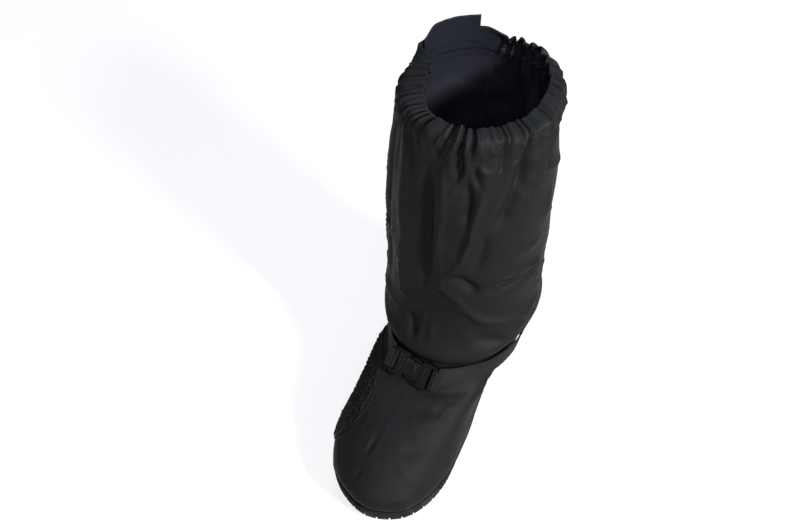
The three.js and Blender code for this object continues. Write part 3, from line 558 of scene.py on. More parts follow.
trough_deepened = 1.65
ridge_raised = 1.25
fold_lines = []
for width, depth, line in SHAFT_FOLDS:
    deepen = trough_deepened if depth < 0 else ridge_raised
    fold_lines.append(fold_line(width, deepen * depth, line, on_shaft))
for width, depth, line in FOOT_FOLDS:
    fold_lines.append(fold_line(width, depth, line, on_foot))
print(len(fold_lines), "folds placed")


# %% [markdown]
# ## How deep the cloth lies at a place
#
# A fold is soft across its line and fades out towards both ends. The cloth is held where it is
# glued to the sole and under the strap, so the folds fade there too. Slow waves from a sum of a few
# sines, and small soft wrinkles in patches, keep the plain stretches from being too even.


# %% Relief of the cloth
def fold_relief(points):
    """The sum of all folds: each by the distance to its line, fading past both ends."""
    total = np.zeros(len(points))
    for width, depth, line in fold_lines:
        run = length_along(line)
        best = np.full(len(points), 1e9)
        place = np.zeros(len(points))
        for k in range(len(line) - 1):
            step = line[k + 1] - line[k]
            share = np.clip(((points - line[k]) @ step) / (step @ step), 0, 1)
            far = np.linalg.norm(points - line[k] - share[:, None] * step, axis=1)
            nearer = far < best
            best = np.where(nearer, far, best)
            place = np.where(nearer, run[k] + share * (run[k + 1] - run[k]), place)
        fade = 0.3 * run[-1]
        start = smooth(-0.4 * fade, fade, place)
        end = 1 - smooth(run[-1] - fade, run[-1] + 0.4 * fade, place)
        total += depth * start * end / (1 + (best / width) ** 2) ** 2
    return total


def slow_waves(points):
    x, y, z = (points / (100 * mm)).T
    return 0.45 * mm * (
        np.sin(5.1 * x + 2.3 * z + 1.7 * np.sin(2.9 * y))
        + 0.7 * np.sin(6.7 * y - 3.1 * z + 0.8)
        + 0.5 * np.sin(11.3 * z + 7.9 * x - 5.3 * y)
        + 0.35 * np.sin(17.0 * x + 13.0 * z - 9.0 * y + 2.0)
    )


def wrinkles(points):
    """Small soft creases that come in patches and cross each other at odd angles."""
    x, y, z = (points / (100 * mm)).T
    bend = 1.3 * np.sin(9 * x + 4 * z) + 1.1 * np.sin(8 * y - 7 * z + 1.0)
    one = 1 - np.abs(np.sin(19 * z + 8 * x + 3 * y + bend))
    two = 1 - np.abs(np.sin(15 * x - 13 * y + 9 * z + 1.7 * bend))
    where_one = smooth(-0.1, 0.9, np.sin(7 * x + 3 * z + 0.5) * np.sin(6 * y - 5 * z + 2.0))
    where_two = smooth(0.0, 0.9, np.sin(5 * x - 8 * z + 2.5) * np.sin(7 * y + 4 * z))
    return 1.05 * mm * (one**3 * where_one + 0.8 * two**3 * where_two)


def bell(away, width):
    """One at no distance, falling off softly over a width."""
    return np.exp(-((away / width) ** 2))


def above_strap(points):
    """Height over the strap's middle, which is lower in front than behind."""
    strap_front = -136 * mm
    share = np.clip((points[:, 1] - strap_front) / (heel_back - strap_front), 0, 1)
    return points[:, 2] - mix(instep_height, ankle_height, share)


def held(points):
    """Nothing where the cloth is held flat, one where it hangs free."""
    near_sole = smooth(lip_top, lip_top + 16 * mm, points[:, 2] - tread_rise(points[:, 1]))
    return near_sole * (1 - 0.85 * bell(above_strap(points), 12 * mm))


def blouse(points):
    """The swell of the shaft over the strap and the tuck right above it."""
    above = above_strap(points)
    return 2.6 * mm * bell(above - 24 * mm, 9 * mm) - 1.2 * mm * bell(above - 10 * mm, 5 * mm)


def relief(points):
    points = points.reshape(-1, 3)
    loose = fold_relief(points) + slow_waves(points) + wrinkles(points)
    return loose * held(points) + blouse(points)


print("relief on the survey, in mm:", (np.percentile(relief(survey), [0, 50, 100]) / mm).round(2))


# %% [markdown]
# ## Gathers of the collar
#
# Elastic in the casing draws the rim in, and the cloth between has to go somewhere: it stands in
# broad plain faces with bunches of sharp little pleats between them. A pleat is a narrow valley
# that starts at the rim, leans a little to one side and widens as it runs down, with the cloth
# pushed up beside it. These are listed one by one, in uneven bunches. Small seeded pleats near the rim
# and a few crumples come on top, but two plain faces in front stay free of the small ones.

# %% Pleats
PLEATS = [
    # turn at the rim and at its lower end in degrees, depth in mm, length down from the rim in mm
    (-83, -81, 2.6, 30), (-74, -72, 3.0, 44), (-70, -68, 1.5, 16), (-63, -59, 3.0, 38),
    (-59.5, -57, 1.6, 14), (-53, -49, 3.2, 40), (-49, -46, 1.5, 15), (-43, -38, 3.4, 50),
    (-39, -36, 1.7, 16), (-33.5, -30, 2.8, 32), (-27, -22, 3.6, 54), (-23.5, -21, 1.6, 14),
    (-19, -15, 3.2, 36), (2, -3, 3.4, 50), (12, 14, 4.4, 52), (15.5, 17, 1.5, 10),
    (19.5, 21, 3.4, 17), (31, 31, 1.4, 8), (38, 39, 2.2, 14), (42, 41, 3.6, 30),
    (45.5, 43.5, 2.4, 18), (60.5, 57, 4.8, 52), (63.5, 61, 2.6, 20), (67, 65, 2.0, 14),
    (80, 79, 4.0, 38), (83.5, 83, 1.8, 14), (97, 98, 3.4, 34), (100.5, 101, 2.0, 16),
    (109, 108, 2.8, 24), (121, 123, 3.8, 42), (125, 126, 2.0, 16), (136, 135, 3.0, 28),
    (146, 147, 3.6, 36), (150, 150, 1.8, 12), (160, 159, 3.0, 30), (168, 169, 3.6, 40),
    (171.5, 172, 1.8, 14), (181, 180, 3.0, 26), (188, 189, 2.6, 30),
]
pleats = np.array(PLEATS)
deep_pleat = 2.6
big_turns = np.array([row[0] for row in PLEATS if row[2] >= deep_pleat])
seeded = np.random.default_rng(5)
face_tilts = seeded.uniform(-0.7, 0.7, len(big_turns) + 1)

# small pleats: place in degrees, lean in degrees a mm, depth in mm, length in mm
small_ranges = ((-84, 190), (-0.25, 0.25), (0.4, 1.1), (6, 16))
small_pleats = np.stack([seeded.uniform(low, high, 52) for low, high in small_ranges], -1)
for plain_start, plain_end in ((-17, 0), (23, 37)):
    in_plain = (small_pleats[:, 0] > plain_start) & (small_pleats[:, 0] < plain_end)
    small_pleats = small_pleats[~in_plain]
mm_a_degree = 1.12 * mm
stitch_height = shaft_height - casing_height + 4 * mm


def gather(points, turn):
    """How far the gathered cloth stands off the shaft's plain surface, in metres."""
    degrees = np.mod(np.degrees(turn) + 160, 360) - 160
    below = np.maximum(shaft_height + 1 * mm - points[:, 2], 0)
    width = mix(1.5 * mm, 5.5 * mm, smooth(2 * mm, 50 * mm, below))
    total = np.zeros(len(points))
    for rim_turn, low_turn, depth, length in pleats:
        length = length * (1.4 if depth > 2.9 else 1.0)
        line = mix(rim_turn, low_turn, np.clip(below / (length * mm), 0, 1))
        away = np.abs(degrees - line) * mm_a_degree
        fade = 1 - smooth(0.45, 1.0, below / (length * mm))
        valley = np.exp(-((away / width) ** 1.3))
        shoulder = 0.3 * bell(away - 2.3 * width, 1.5 * width)
        total += depth * mm * fade * (shoulder - valley)
    for place, lean, depth, length in small_pleats:
        away = np.abs(degrees - place - lean * below / mm) * mm_a_degree
        fade = 1 - smooth(0.3, 1.0, below / (length * mm))
        total -= depth * mm * fade * np.exp(-((away / (0.9 * mm)) ** 1.5))
    # crumples cross the pleats near the rim
    along = np.where(degrees > 180, degrees - 360, degrees) * mm_a_degree / mm
    down = below / mm
    one = 1 - np.abs(np.sin(along / 3.3 + down / 4.9 + 1.5 * np.sin(along / 9.0)))
    two = 1 - np.abs(np.sin(along / 4.4 - down / 3.7 + 1.3 * np.sin(along / 6.0 + down / 11.0)))
    reach = smooth(1, 7, down) * (1 - smooth(22, 48, down))
    total += 1.3 * mm * (one**2 * two + 0.5 * two**3) * reach
    # each plain face between two deep pleats is domed and tilted a little
    face = np.clip(np.searchsorted(big_turns, degrees), 1, len(big_turns) - 1)
    wide = big_turns[face] - big_turns[face - 1]
    share = np.clip((degrees - big_turns[face - 1]) / wide, 0, 1)
    dome = np.minimum(0.09 * wide, 1.5) * 4 * share * (1 - share)
    tilt = 1.6 * face_tilts[face] * np.sin(2 * np.pi * (share - 0.5)) * np.minimum(wide / 10, 1.3)
    total += (dome + tilt - 0.5) * mm * (1 - smooth(8 * mm, 55 * mm, below))
    return total * (1 - flat_share(turn))


def seat_of(points, turn):
    """Everything that moves the cloth off its plain surface."""
    waist = -0.25 * mm * bell(points[:, 2] - stitch_height, 1.6 * mm)
    return relief(points) + gather(points, turn) + waist


print(len(pleats), "pleats,", len(big_turns), "of them deep")


# %% [markdown]
# ## From a grid to a piece of cloth
#
# Each sewn piece starts as a flat bmesh grid. Its two directions become a turn and a row, each
# corner is put in place on the boot, and the closing edge is welded where a piece goes all round.
# Points that have to meet are welded within a few thousandths of a millimetre.


# %% Grid helpers
weld = 0.002 * mm


def flat_grid(columns, rows):
    """A flat bmesh grid, and each corner's share across it and up it."""
    piece = bmesh.new()
    bmesh.ops.create_grid(piece, x_segments=columns, y_segments=rows, size=0.5)
    return piece, np.array([v.co[:2] for v in piece.verts]) + 0.5


def move_to(piece, spots):
    for v, spot in zip(piece.verts, spots):
        v.co = spot


def cloth_grid(columns, rows, place, around=False):
    """A bmesh grid whose corners are moved to place(share across, share up)."""
    piece, flat = flat_grid(columns, rows)
    move_to(piece, place(flat[:, 0], flat[:, 1]))
    if around:
        bmesh.ops.remove_doubles(piece, verts=piece.verts, dist=weld)
    return piece, flat


def skin_spots(turn, row, offset=0.0):
    """Places on the folded cloth, moved out by offset."""
    turn, row = np.asarray(turn, float), np.asarray(row, float)
    base = upper_face(turn, row)
    normal = upper_normal(turn, row)
    return base + normal * (seat_of(base, turn) + offset)[:, None]


def smooth_faces(mesh):
    mesh.polygons.foreach_set("use_smooth", [True] * len(mesh.polygons))


def finish_piece(piece, name, body="boot", outward=True):
    """A bmesh becomes an object with smooth faces that rides on a body."""
    if outward:
        bmesh.ops.recalc_face_normals(piece, faces=piece.faces)
    mesh = bpy.data.meshes.new(name)
    piece.to_mesh(mesh)
    piece.free()
    smooth_faces(mesh)
    obj = bpy.data.objects.new(name, mesh)
    bpy.context.scene.collection.objects.link(obj)
    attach(obj, body)
    return obj


def apply_modifiers(obj):
    bpy.context.view_layer.update()
    graph = bpy.context.evaluated_depsgraph_get()
    mesh = bpy.data.meshes.new_from_object(obj.evaluated_get(graph))
    obj.modifiers.clear()
    obj.data = mesh
    return obj


def thicken(piece, thickness):
    """A sheet gets its second side, thickness inward. A plain step grows no spikes at sharp folds."""
    bmesh.ops.recalc_face_normals(piece, faces=piece.faces)
    second = bmesh.ops.extrude_face_region(piece, geom=piece.faces[:], use_keep_orig=True)
    piece.normal_update()
    for v in second["geom"]:
        if isinstance(v, bmesh.types.BMVert):
            v.co -= v.normal * thickness


def count(obj):
    """How many triangles an object's faces come to."""
    return sum(len(p.vertices) - 2 for p in obj.data.polygons)


print("helpers ready")


# %% [markdown]
# ## The upper's cloth
#
# One tube of cloth from the sole's lip up into the casing. Its rows are spaced evenly along the
# surface, a little over two millimetres apart, which is fine enough for the folds. The wall is made
# by giving the outer skin a second side.


# %% Upper cloth
def even_rows(first, last, how_many):
    """Rows from first to last that lie evenly apart on the surface, as a mean round the boot."""
    fine = np.linspace(first, last, 500)
    turns = np.radians(np.arange(0, 360, 30))
    run = sum(length_along(upper_face(np.full(len(fine), turn), fine)) for turn in turns)
    return np.interp(np.linspace(0, run[-1], how_many), run, fine)


cloth_columns = 240
cloth_rows = 150
cloth_wall = 1.1 * mm
upper_rows = even_rows(0.4, collar_low + 0.95, cloth_rows + 1)
upper_shares = np.linspace(0, 1, cloth_rows + 1)


def place_upper(across, up):
    return skin_spots(across * 2 * np.pi, np.interp(up, upper_shares, upper_rows))


piece, _ = cloth_grid(cloth_columns, cloth_rows, place_upper, around=True)
thicken(piece, cloth_wall)
upper_cloth = finish_piece(piece, "upper_cloth")
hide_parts("upper")
print("upper_cloth", count(upper_cloth), "triangles")

# %% [markdown]
# ## The collar
#
# The casing is cloth folded over the rim with elastic inside. One sheet goes up the outside, round
# over the rim and a little way down the inside. Outside it follows the gathers of the cloth below
# it, so the pleats run on across the stitch line. Its inner side follows them only in part, keeps
# behind the lining's puffs and has the lining's finish.

# %% Collar
collar_columns = 640
collar_wall = 0.7 * mm
inner_reach = 22 * mm
outer_steps = 22
roll_steps = 8
inner_steps = 14
collar_steps = outer_steps + roll_steps + inner_steps


def rim_lift(turn, puffs):
    """The rim isn't level: it dips at each pleat, wanders, and has one corner of cloth standing up."""
    gathered = 1 - flat_share(turn)
    wander = 0.9 * np.sin(3 * turn + 0.6) + 0.7 * np.sin(7 * turn + 2.0) + 0.5 * np.sin(13 * turn)
    away = np.abs(np.mod(turn - math.radians(150) + np.pi, 2 * np.pi) - np.pi)
    corner = 4.5 * mm * np.exp(-((away / math.radians(3.2)) ** 1.5))
    return gathered * (wander * mm + 0.22 * puffs + corner)


def collar_spots(across, up):
    turn = across * 2 * np.pi
    step = up * collar_steps
    outer_row = mix(collar_low, top_row, np.clip(step / outer_steps, 0, 1))
    inner_share = np.clip((step - outer_steps - roll_steps) / inner_steps, 0, 1)
    rim_row = np.full(len(turn), float(top_row))
    inner_height = shaft_height - inner_share * inner_reach + flat_rise * flat_share(turn)
    inner_row = np.minimum(row_at_height(turn, inner_height), rim_row)
    roll = np.clip((step - outer_steps) / roll_steps, 0, 1) * np.pi
    row = np.where(step <= outer_steps, outer_row, np.where(roll < np.pi, rim_row, inner_row))
    base = upper_face(turn, row)
    normal = upper_normal(turn, np.minimum(row, top_row - 0.05))
    rise = unit(base - upper_face(turn, row - 0.05))
    lift = seat_of(base, turn)
    puffs = gather(base, turn)
    rim_puffs = gather(upper_face(turn, rim_row), turn)
    proud = mix(-0.6 * mm, 0.5 * mm, smooth(0, 0.4 * outer_steps, step))
    half_wall = upper_wall / 2 + proud
    centre = base - normal * (upper_wall / 2)
    out = np.cos(roll) * half_wall
    over = np.sin(roll) * half_wall
    near_rim = np.where(
        step <= outer_steps, smooth(0.55, 1.0, step / outer_steps), 1 - smooth(0, 0.8, inner_share)
    )
    spot = centre + normal * out[:, None] + rise * over[:, None]
    spot[:, 2] += rim_lift(turn, rim_puffs) * near_rim
    outside = 1 - roll / np.pi
    inward = np.minimum(0.6 * puffs, lift)
    shift = np.where(roll >= np.pi, inward, lift * outside + inward * (1 - outside))
    return spot + normal * shift[:, None]


piece, shares = cloth_grid(collar_columns, collar_steps, collar_spots)
inside_from = (outer_steps + roll_steps) / collar_steps
lining_finish = 1
piece.verts.index_update()
for face in piece.faces:
    if min(shares[v.index][1] for v in face.verts) >= inside_from - 1e-6:
        face.material_index = lining_finish
bmesh.ops.remove_doubles(piece, verts=piece.verts, dist=weld)
thicken(piece, collar_wall)
collar_cloth = finish_piece(piece, "collar_cloth")
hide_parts("collar_casing", "collar_hem")
print("collar_cloth", count(collar_cloth), "triangles")

# %% [markdown]
# ## Bands of webbing and tape
#
# The strap, the seam's welt and the zip's tapes are all bands: long, thin and round at their
# edges. A grid is rolled into a flat tube round one small section, so a band has a top, a back and
# soft edges in one closed surface. Its UV map is in metres along and across, for woven patterns.


# %% Band helpers
def band_section(across_steps, edge):
    """A flat loop: across from -1 to 1, and height through the band from 0 to 1."""
    flat = np.linspace(-1 + edge, 1 - edge, across_steps)
    turn = np.radians([60, 30, 0, -30, -60])
    right = [(1 - edge + edge * math.cos(t), 0.5 + 0.5 * math.sin(t)) for t in turn]
    top = [(s, 1.0) for s in flat]
    back = [(s, 0.0) for s in flat[::-1]]
    left = [(-s, 1 - h) for s, h in right]
    loop = top + right + back + left
    return np.array(loop + loop[:1])


def lay_uv(piece, values):
    layer = piece.loops.layers.uv.new("cloth")
    piece.verts.index_update()
    for face in piece.faces:
        for loop in face.loops:
            loop[layer].uv = values[loop.vert.index]


def band(columns, section, place, length, width):
    """A closed band. place(along, across, height) gives its points."""
    steps = len(section) - 1
    piece, flat = flat_grid(columns, steps)
    step = np.rint(flat[:, 1] * steps).astype(int)
    spots = place(flat[:, 0], section[step, 0], section[step, 1])
    lay_uv(piece, np.stack([flat[:, 0] * length, section[step, 0] * width / 2], -1))
    move_to(piece, spots)
    bmesh.ops.remove_doubles(piece, verts=piece.verts, dist=weld)
    ends = [edge for edge in piece.edges if edge.is_boundary]
    bmesh.ops.holes_fill(piece, edges=ends, sides=0)
    bmesh.ops.recalc_face_normals(piece, faces=piece.faces)
    return piece


def stretched_ball(piece, spot, first, second, size):
    """Adds an icosphere with its sizes along two given axes and the one square to both."""
    axes = Matrix((first, second, first.cross(second))).transposed().to_4x4()
    matrix = Matrix.Translation(spot) @ axes @ Matrix.Diagonal((*size, 1.0))
    bmesh.ops.create_icosphere(piece, subdivisions=1, radius=0.5, matrix=matrix)


def stitch_row(path, normals, pitch, length, thickness):
    """Small threads that lie along a path of points, each a stretched icosphere."""
    piece = bmesh.new()
    run = length_along(path)

    def at(place, values):
        return Vector([np.interp(place, run, values[:, k]) for k in range(3)])

    for place in np.arange(pitch / 2, run[-1], pitch):
        spot = at(place, path)
        along = (at(place + length / 2, path) - spot).normalized()
        side = at(place, normals).normalized().cross(along).normalized()
        stretched_ball(piece, spot, along, side, (length, thickness, thickness * 0.8))
    return piece


def skin_path(turn, row, offset):
    turn, row = np.asarray(turn, float), np.asarray(row, float)
    return skin_spots(turn, row, offset), upper_normal(turn, row)


def join_pieces(pieces):
    whole = bmesh.new()
    for one in pieces:
        mesh = bpy.data.meshes.new("part")
        one.to_mesh(mesh)
        one.free()
        whole.from_mesh(mesh)
        bpy.data.meshes.remove(mesh)
    return whole


print("band helpers ready")

# %% [markdown]
# ## The seam down the vamp
#
# The two halves of the vamp lap over each other along the foot, from the strap to the toe. The lap
# is a band laid on the skin, level with it at one edge and a step high at the other, so it rises
# and falls with the folds. Two rows of stitches hold it.

# %% Vamp seam
seam_width = 7 * mm
seam_line = -0.016 * ball_width


def seam_turn(row, side):
    """The turn at which the seam crosses a row. The foot's rings are boxier than the leg's."""
    round_ = np.clip(section_value(ROUND, row), 0, 1)
    spread = mix(1.55, 1.0, round_)
    toe = mix(toe_centre * 2, 0.0, round_)
    x = seam_line + side * seam_width / 2
    share = ((x - section_value(MIDDLE, row)) / section_value(HALF, row) - toe) / spread
    return np.arcsin(share)


def place_seam(along, across, height):
    row = mix(2.35, 9.0, along)
    turn = seam_turn(row, across)
    thick = mix(0.08 * mm, 0.5 * mm, smooth(-1.0, 0.7, across))
    return skin_spots(turn, row, 0.05 * mm + height * thick)


seam_length = 135 * mm
piece = band(190, band_section(7, 0.12), place_seam, seam_length, seam_width)
vamp_welt = finish_piece(piece, "vamp_welt")
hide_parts("vamp_seam")

seam_rows = np.linspace(2.5, 8.95, 160)
seam_threads = []
for side, lift in ((0.05, 0.3 * mm), (0.6, 0.55 * mm)):
    path, normals = skin_path(seam_turn(seam_rows, side), seam_rows, lift)
    seam_threads.append(stitch_row(path, normals, 2.9 * mm, 2.2 * mm, 0.55 * mm))
seam_stitches = finish_piece(join_pieces(seam_threads), "seam_stitches")
print("vamp_welt", count(vamp_welt), "seam_stitches", count(seam_stitches))

# %% [markdown]
# ## The pebbled patch
#
# The patch on the inner side of the vamp guards the cloth where the feet rub. Its pebbles are
# cells round scattered points: high in the middle and low where two cells meet. A border is
# pressed flat round it and carries two rows of stitches.

# %% Patch
PATCH = np.array([
    # row, edge near the seam, edge toward the heel, both in degrees to the inner side
    (2.3, 45, 68),
    (3, 44, 70),
    (4, 41, 72),
    (5, 37, 73),
    (6, 32, 73),
    (7, 27, 72),
    (8, 26, 71),
    (8.5, 31, 70),
    (9, 38, 67),
])
patch_thickness = 1.2 * mm


def patch_edges(row):
    """Smooth edges through the table, by a running mean of the straight ones."""
    around = np.linspace(-0.45, 0.45, 7)
    return [
        np.mean([np.interp(row + s, PATCH[:, 0], PATCH[:, column]) for s in around], axis=0)
        for column in (1, 2)
    ]


def patch_base(across, up):
    row = mix(PATCH[0, 0], PATCH[-1, 0], up)
    front, back = patch_edges(row)
    corner = smooth(0, 0.09, up) * (1 - smooth(0.86, 1.0, up))
    pinch = mix(0.04, 0.0, corner)
    turn = -np.radians(mix(front, back, mix(pinch, 1 - pinch, across)))
    return turn, row


cell = 4.4 * mm
pebble_height = 1.2 * mm
seeded = np.random.default_rng(11)
patch_shares = np.meshgrid(np.linspace(0, 1, 30), np.linspace(0, 1, 30))
patch_spots = upper_face(*patch_base(*patch_shares)).reshape(-1, 3)
low_corner, high_corner = patch_spots.min(0) - cell, patch_spots.max(0) + cell
levels = [np.arange(low, high, cell) for low, high in zip(low_corner, high_corner)]
lattice = np.stack(np.meshgrid(*levels, indexing="ij"), -1).reshape(-1, 3)
lattice = lattice + seeded.uniform(-0.3, 0.3, lattice.shape) * cell


def pebbles(points):
    """One in the middle of a pebble and nothing between two of them."""
    height = np.zeros(len(points))
    batch = 400
    for start in range(0, len(points), batch):
        some = points[start:start + batch]
        low, high = some.min(0) - 2 * cell, some.max(0) + 2 * cell
        near = lattice[np.all((lattice > low) & (lattice < high), axis=1)]
        far = np.sort(np.linalg.norm(some[:, None] - near[None], axis=2), axis=1)
        height[start:start + batch] = smooth(0.0, 0.42 * cell, far[:, 1] - far[:, 0])
    return height


patch_columns = 120
patch_rows = 150
patch_across = 68 * mm
patch_up = 95 * mm


def place_patch(across, up):
    turn, row = patch_base(across, up)
    base = upper_face(turn, row)
    from_side = np.minimum(across, 1 - across) * patch_across
    edge = np.minimum(from_side, np.minimum(up, 1 - up) * patch_up)
    border = smooth(4.6 * mm, 5.6 * mm, edge)
    rounded = np.sqrt(np.clip(edge / (0.8 * mm), 0, 1))
    height = patch_thickness * (0.2 + 0.4 * rounded) + border * pebble_height * pebbles(base)
    return skin_spots(turn, row, height)


piece, _ = cloth_grid(patch_columns, patch_rows, place_patch)
thicken(piece, 0.5 * mm)
grip = finish_piece(piece, "pebbled_patch")
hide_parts("grip_patch")

patch_threads = []
shares = np.linspace(0, 1, 130)
for inset in (0.022, 0.062):
    top = 1 - inset * 0.8
    sides = [
        (np.full(130, inset), mix(inset, top, shares)),
        (mix(inset, 1 - inset, shares), np.full(130, top)),
        (np.full(130, 1 - inset), mix(top, inset, shares)),
    ]
    for across, up in sides:
        path, normals = skin_path(*patch_base(across, up), 1.05 * mm)
        patch_threads.append(stitch_row(path, normals, 2.7 * mm, 2.0 * mm, 0.55 * mm))
patch_stitches = finish_piece(join_pieces(patch_threads), "patch_stitches")
print("pebbled_patch", count(grip), "patch_stitches", count(patch_stitches))

# %% [markdown]
# ## The buckle's own frame
#
# The buckle lies flat on the instep. Its parts are made in a frame of their own, with X along the
# strap and Z out of the cloth, and are then turned into place together.


# %% Buckle frame
buckle_length = 48 * mm
buckle_width = 27 * mm
buckle_thickness = 7 * mm
strap_low, strap_middle, strap_high = strap_row - 1, strap_row, strap_row + 1
strap_centre = section_value(MIDDLE, strap_middle)
strap_half = section_value(HALF, strap_middle)
buckle_turn = math.asin(float(-strap_centre / strap_half))


def buckle_frame():
    """The buckle's axes as columns, and its origin just clear of the cloth under it."""
    low = upper_face(buckle_turn, strap_low - 0.3)
    high = upper_face(buckle_turn, strap_high + 0.3)
    rise = unit(high - low)
    along = unit(np.cross((0, 0, 1), upper_normal(buckle_turn, float(strap_middle))))
    out = unit(np.cross(along, rise))
    origin = (low + high) / 2
    axes = np.stack([along, np.cross(out, along), out], -1)
    near_turns = np.linspace(buckle_turn - 0.5, buckle_turn + 0.5, 41)
    turns, rows = np.meshgrid(near_turns, np.linspace(strap_low - 2, strap_high + 3, 51))
    local = (upper_face(turns, rows).reshape(-1, 3) - origin) @ axes
    under = (abs(local[:, 0]) < buckle_length / 2) & (abs(local[:, 1]) < buckle_width / 2)
    return axes, origin + out * (local[under, 2].max() + clearance)


buckle_axes, buckle_origin = buckle_frame()
to_buckle = Matrix.Translation(buckle_origin) @ Matrix(buckle_axes.tolist()).to_4x4()
print("buckle stands at, in mm:", (buckle_origin / mm).round(1))

# %% [markdown]
# ## The strap
#
# One length of ribbed webbing goes from the buckle's outer bar round the heel to its inner bar. It
# lies on the cloth, is slack at the outer side, where daylight shows under it, and climbs over the
# zip. At each bar a short loop of the same webbing goes through the slot.


# %% Strap
webbing_thickness = 1.6 * mm
zip_turn = math.radians(-124)
zip_stack = 2.6 * mm
strap_slack = 3 * mm
strap_reach = buckle_length / 2 + 2 * clearance


def in_buckle(points):
    return (points - buckle_origin) @ buckle_axes


def from_buckle(points):
    return points @ buckle_axes.T + buckle_origin


def turn_at_end(side):
    """The turn at which the strap reaches the buckle's end on one side, by halving."""
    near, far = buckle_turn, buckle_turn + side * math.radians(60)
    for _ in range(30):
        middle = (near + far) / 2
        x = in_buckle(upper_face(middle, float(strap_middle)))[0]
        if side * x < strap_reach:
            near = middle
        else:
            far = middle
    return near


def rise_to_bar(turn):
    """How far the strap has to leave the cloth to meet the middle of the buckle's end."""
    return buckle_thickness / 2 - in_buckle(upper_face(turn, float(strap_middle)))[2]


strap_start = turn_at_end(1)
strap_end = turn_at_end(-1) + 2 * math.pi
rise_start, rise_end = rise_to_bar(strap_start), rise_to_bar(strap_end)


def bump(turn, middle, half):
    start = smooth(middle - half, middle - half / 3, turn)
    return start * (1 - smooth(middle + half / 3, middle + half, turn))


def place_strap(along, across, height):
    turn = mix(strap_start, strap_end, along)
    row = strap_middle + across * 0.98
    fade = math.radians(26)
    rise = rise_start * (1 - smooth(strap_start, strap_start + fade, turn))
    rise = rise + rise_end * smooth(strap_end - fade, strap_end, turn)
    slack = strap_slack * bump(turn, math.radians(66), math.radians(32))
    over_zip = (zip_stack + 3 * clearance) * bump(turn, zip_turn + 2 * math.pi, math.radians(36))
    lean = 0.5 * mm * np.sin(5 * turn) * across
    offset = 0.45 * mm + height * webbing_thickness + slack + over_zip + lean
    points = upper_face(turn, row) + upper_normal(turn, row) * offset[:, None]
    points = points + buckle_axes[:, 2] * rise[:, None]
    local = in_buckle(points)
    near = (local[:, 2] > -buckle_width) & (abs(local[:, 0]) <= strap_reach)
    local[near, 0] = np.sign(local[near, 0]) * strap_reach
    return np.where(near[:, None], from_buckle(local), points)


strap_length = 370 * mm
piece = band(360, band_section(11, 0.05), place_strap, strap_length, webbing_width)
strap = finish_piece(piece, "strap_webbing")
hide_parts("ankle_strap")


LOOP_PATH = [
    # out along the strap and height over the cloth, in mm
    (31, 2.1), (27, 1.6), (24.5, 0.9), (22.4, 0.75), (20.6, 1.5), (19.9, 3.4), (20.4, 5.4),
    (22.2, 6.5), (24.4, 6.3), (27, 5.7), (31, 5.1),
]
loop_length = 30 * mm


def loop_of(side):
    """The webbing's turn round one bar of the buckle, in the buckle's frame."""
    path = np.array(LOOP_PATH) * mm
    share = np.linspace(0, 1, len(path))

    def at(along):
        along = np.clip(along, 0, 1)
        return np.stack([np.interp(along, share, path[:, k]) for k in (0, 1)], -1)

    def place(along, across, height):
        step = 0.02
        slope = unit(at(along + step) - at(along - step))
        thick = (height - 0.5) * 1.1 * mm
        x, z = at(along).T
        x, z = x - slope[:, 1] * thick, z + slope[:, 0] * thick
        return from_buckle(np.stack([side * x, across * webbing_width * 0.49, z], -1))

    return band(60, band_section(9, 0.05), place, loop_length, webbing_width)


loops = finish_piece(join_pieces([loop_of(-1), loop_of(1)]), "strap_loops")
print("strap_webbing", count(strap), "strap_loops", count(loops))

# %% [markdown]
# ## The buckle
#
# A side-release buckle is two mouldings: a socket, and a plug whose two springy arms snap out
# beside the socket's waist. The solids have the right plates, slots and tongue, so copies of them
# are merged and their edges rounded. Arms, grip bars and a raised panel are added to the copies.


# %% Buckle
def merged_copy(node):
    """A copy of a node's mesh with its loose triangles joined and its flat faces made whole."""
    piece = bmesh.new()
    piece.from_mesh(nodes[node].data)
    piece.transform(nodes[node].matrix_world)
    bmesh.ops.remove_doubles(piece, verts=piece.verts, dist=1e-6)
    bmesh.ops.dissolve_limit(
        piece, angle_limit=math.radians(0.5), verts=piece.verts, edges=piece.edges
    )
    return piece


def round_edges(obj, width, segments=3):
    bevel = obj.modifiers.new("rounded edges", "BEVEL")
    bevel.width = width
    bevel.segments = segments
    bevel.limit_method = "ANGLE"
    bevel.angle_limit = math.radians(35)
    bevel.use_clamp_overlap = True
    apply_modifiers(obj)
    smooth_faces(obj.data)


def bevel_edges(piece, edges, width):
    bmesh.ops.bevel(
        piece, geom=edges, offset=width, offset_type="OFFSET", segments=2, profile=0.5,
        affect="EDGES", material=-1, clamp_overlap=True,
    )


def block(size, place, taper):
    """A bevelled block in the buckle's frame, narrower at its top by taper."""
    piece = bmesh.new()
    bmesh.ops.create_cube(piece, size=1.0)
    for v in piece.verts:
        if v.co.z > 0:
            v.co.x *= taper
            v.co.y *= taper
    bmesh.ops.scale(piece, vec=size, verts=piece.verts)
    bevel_edges(piece, piece.edges[:], 0.4 * mm)
    bmesh.ops.translate(piece, vec=place, verts=piece.verts)
    return piece


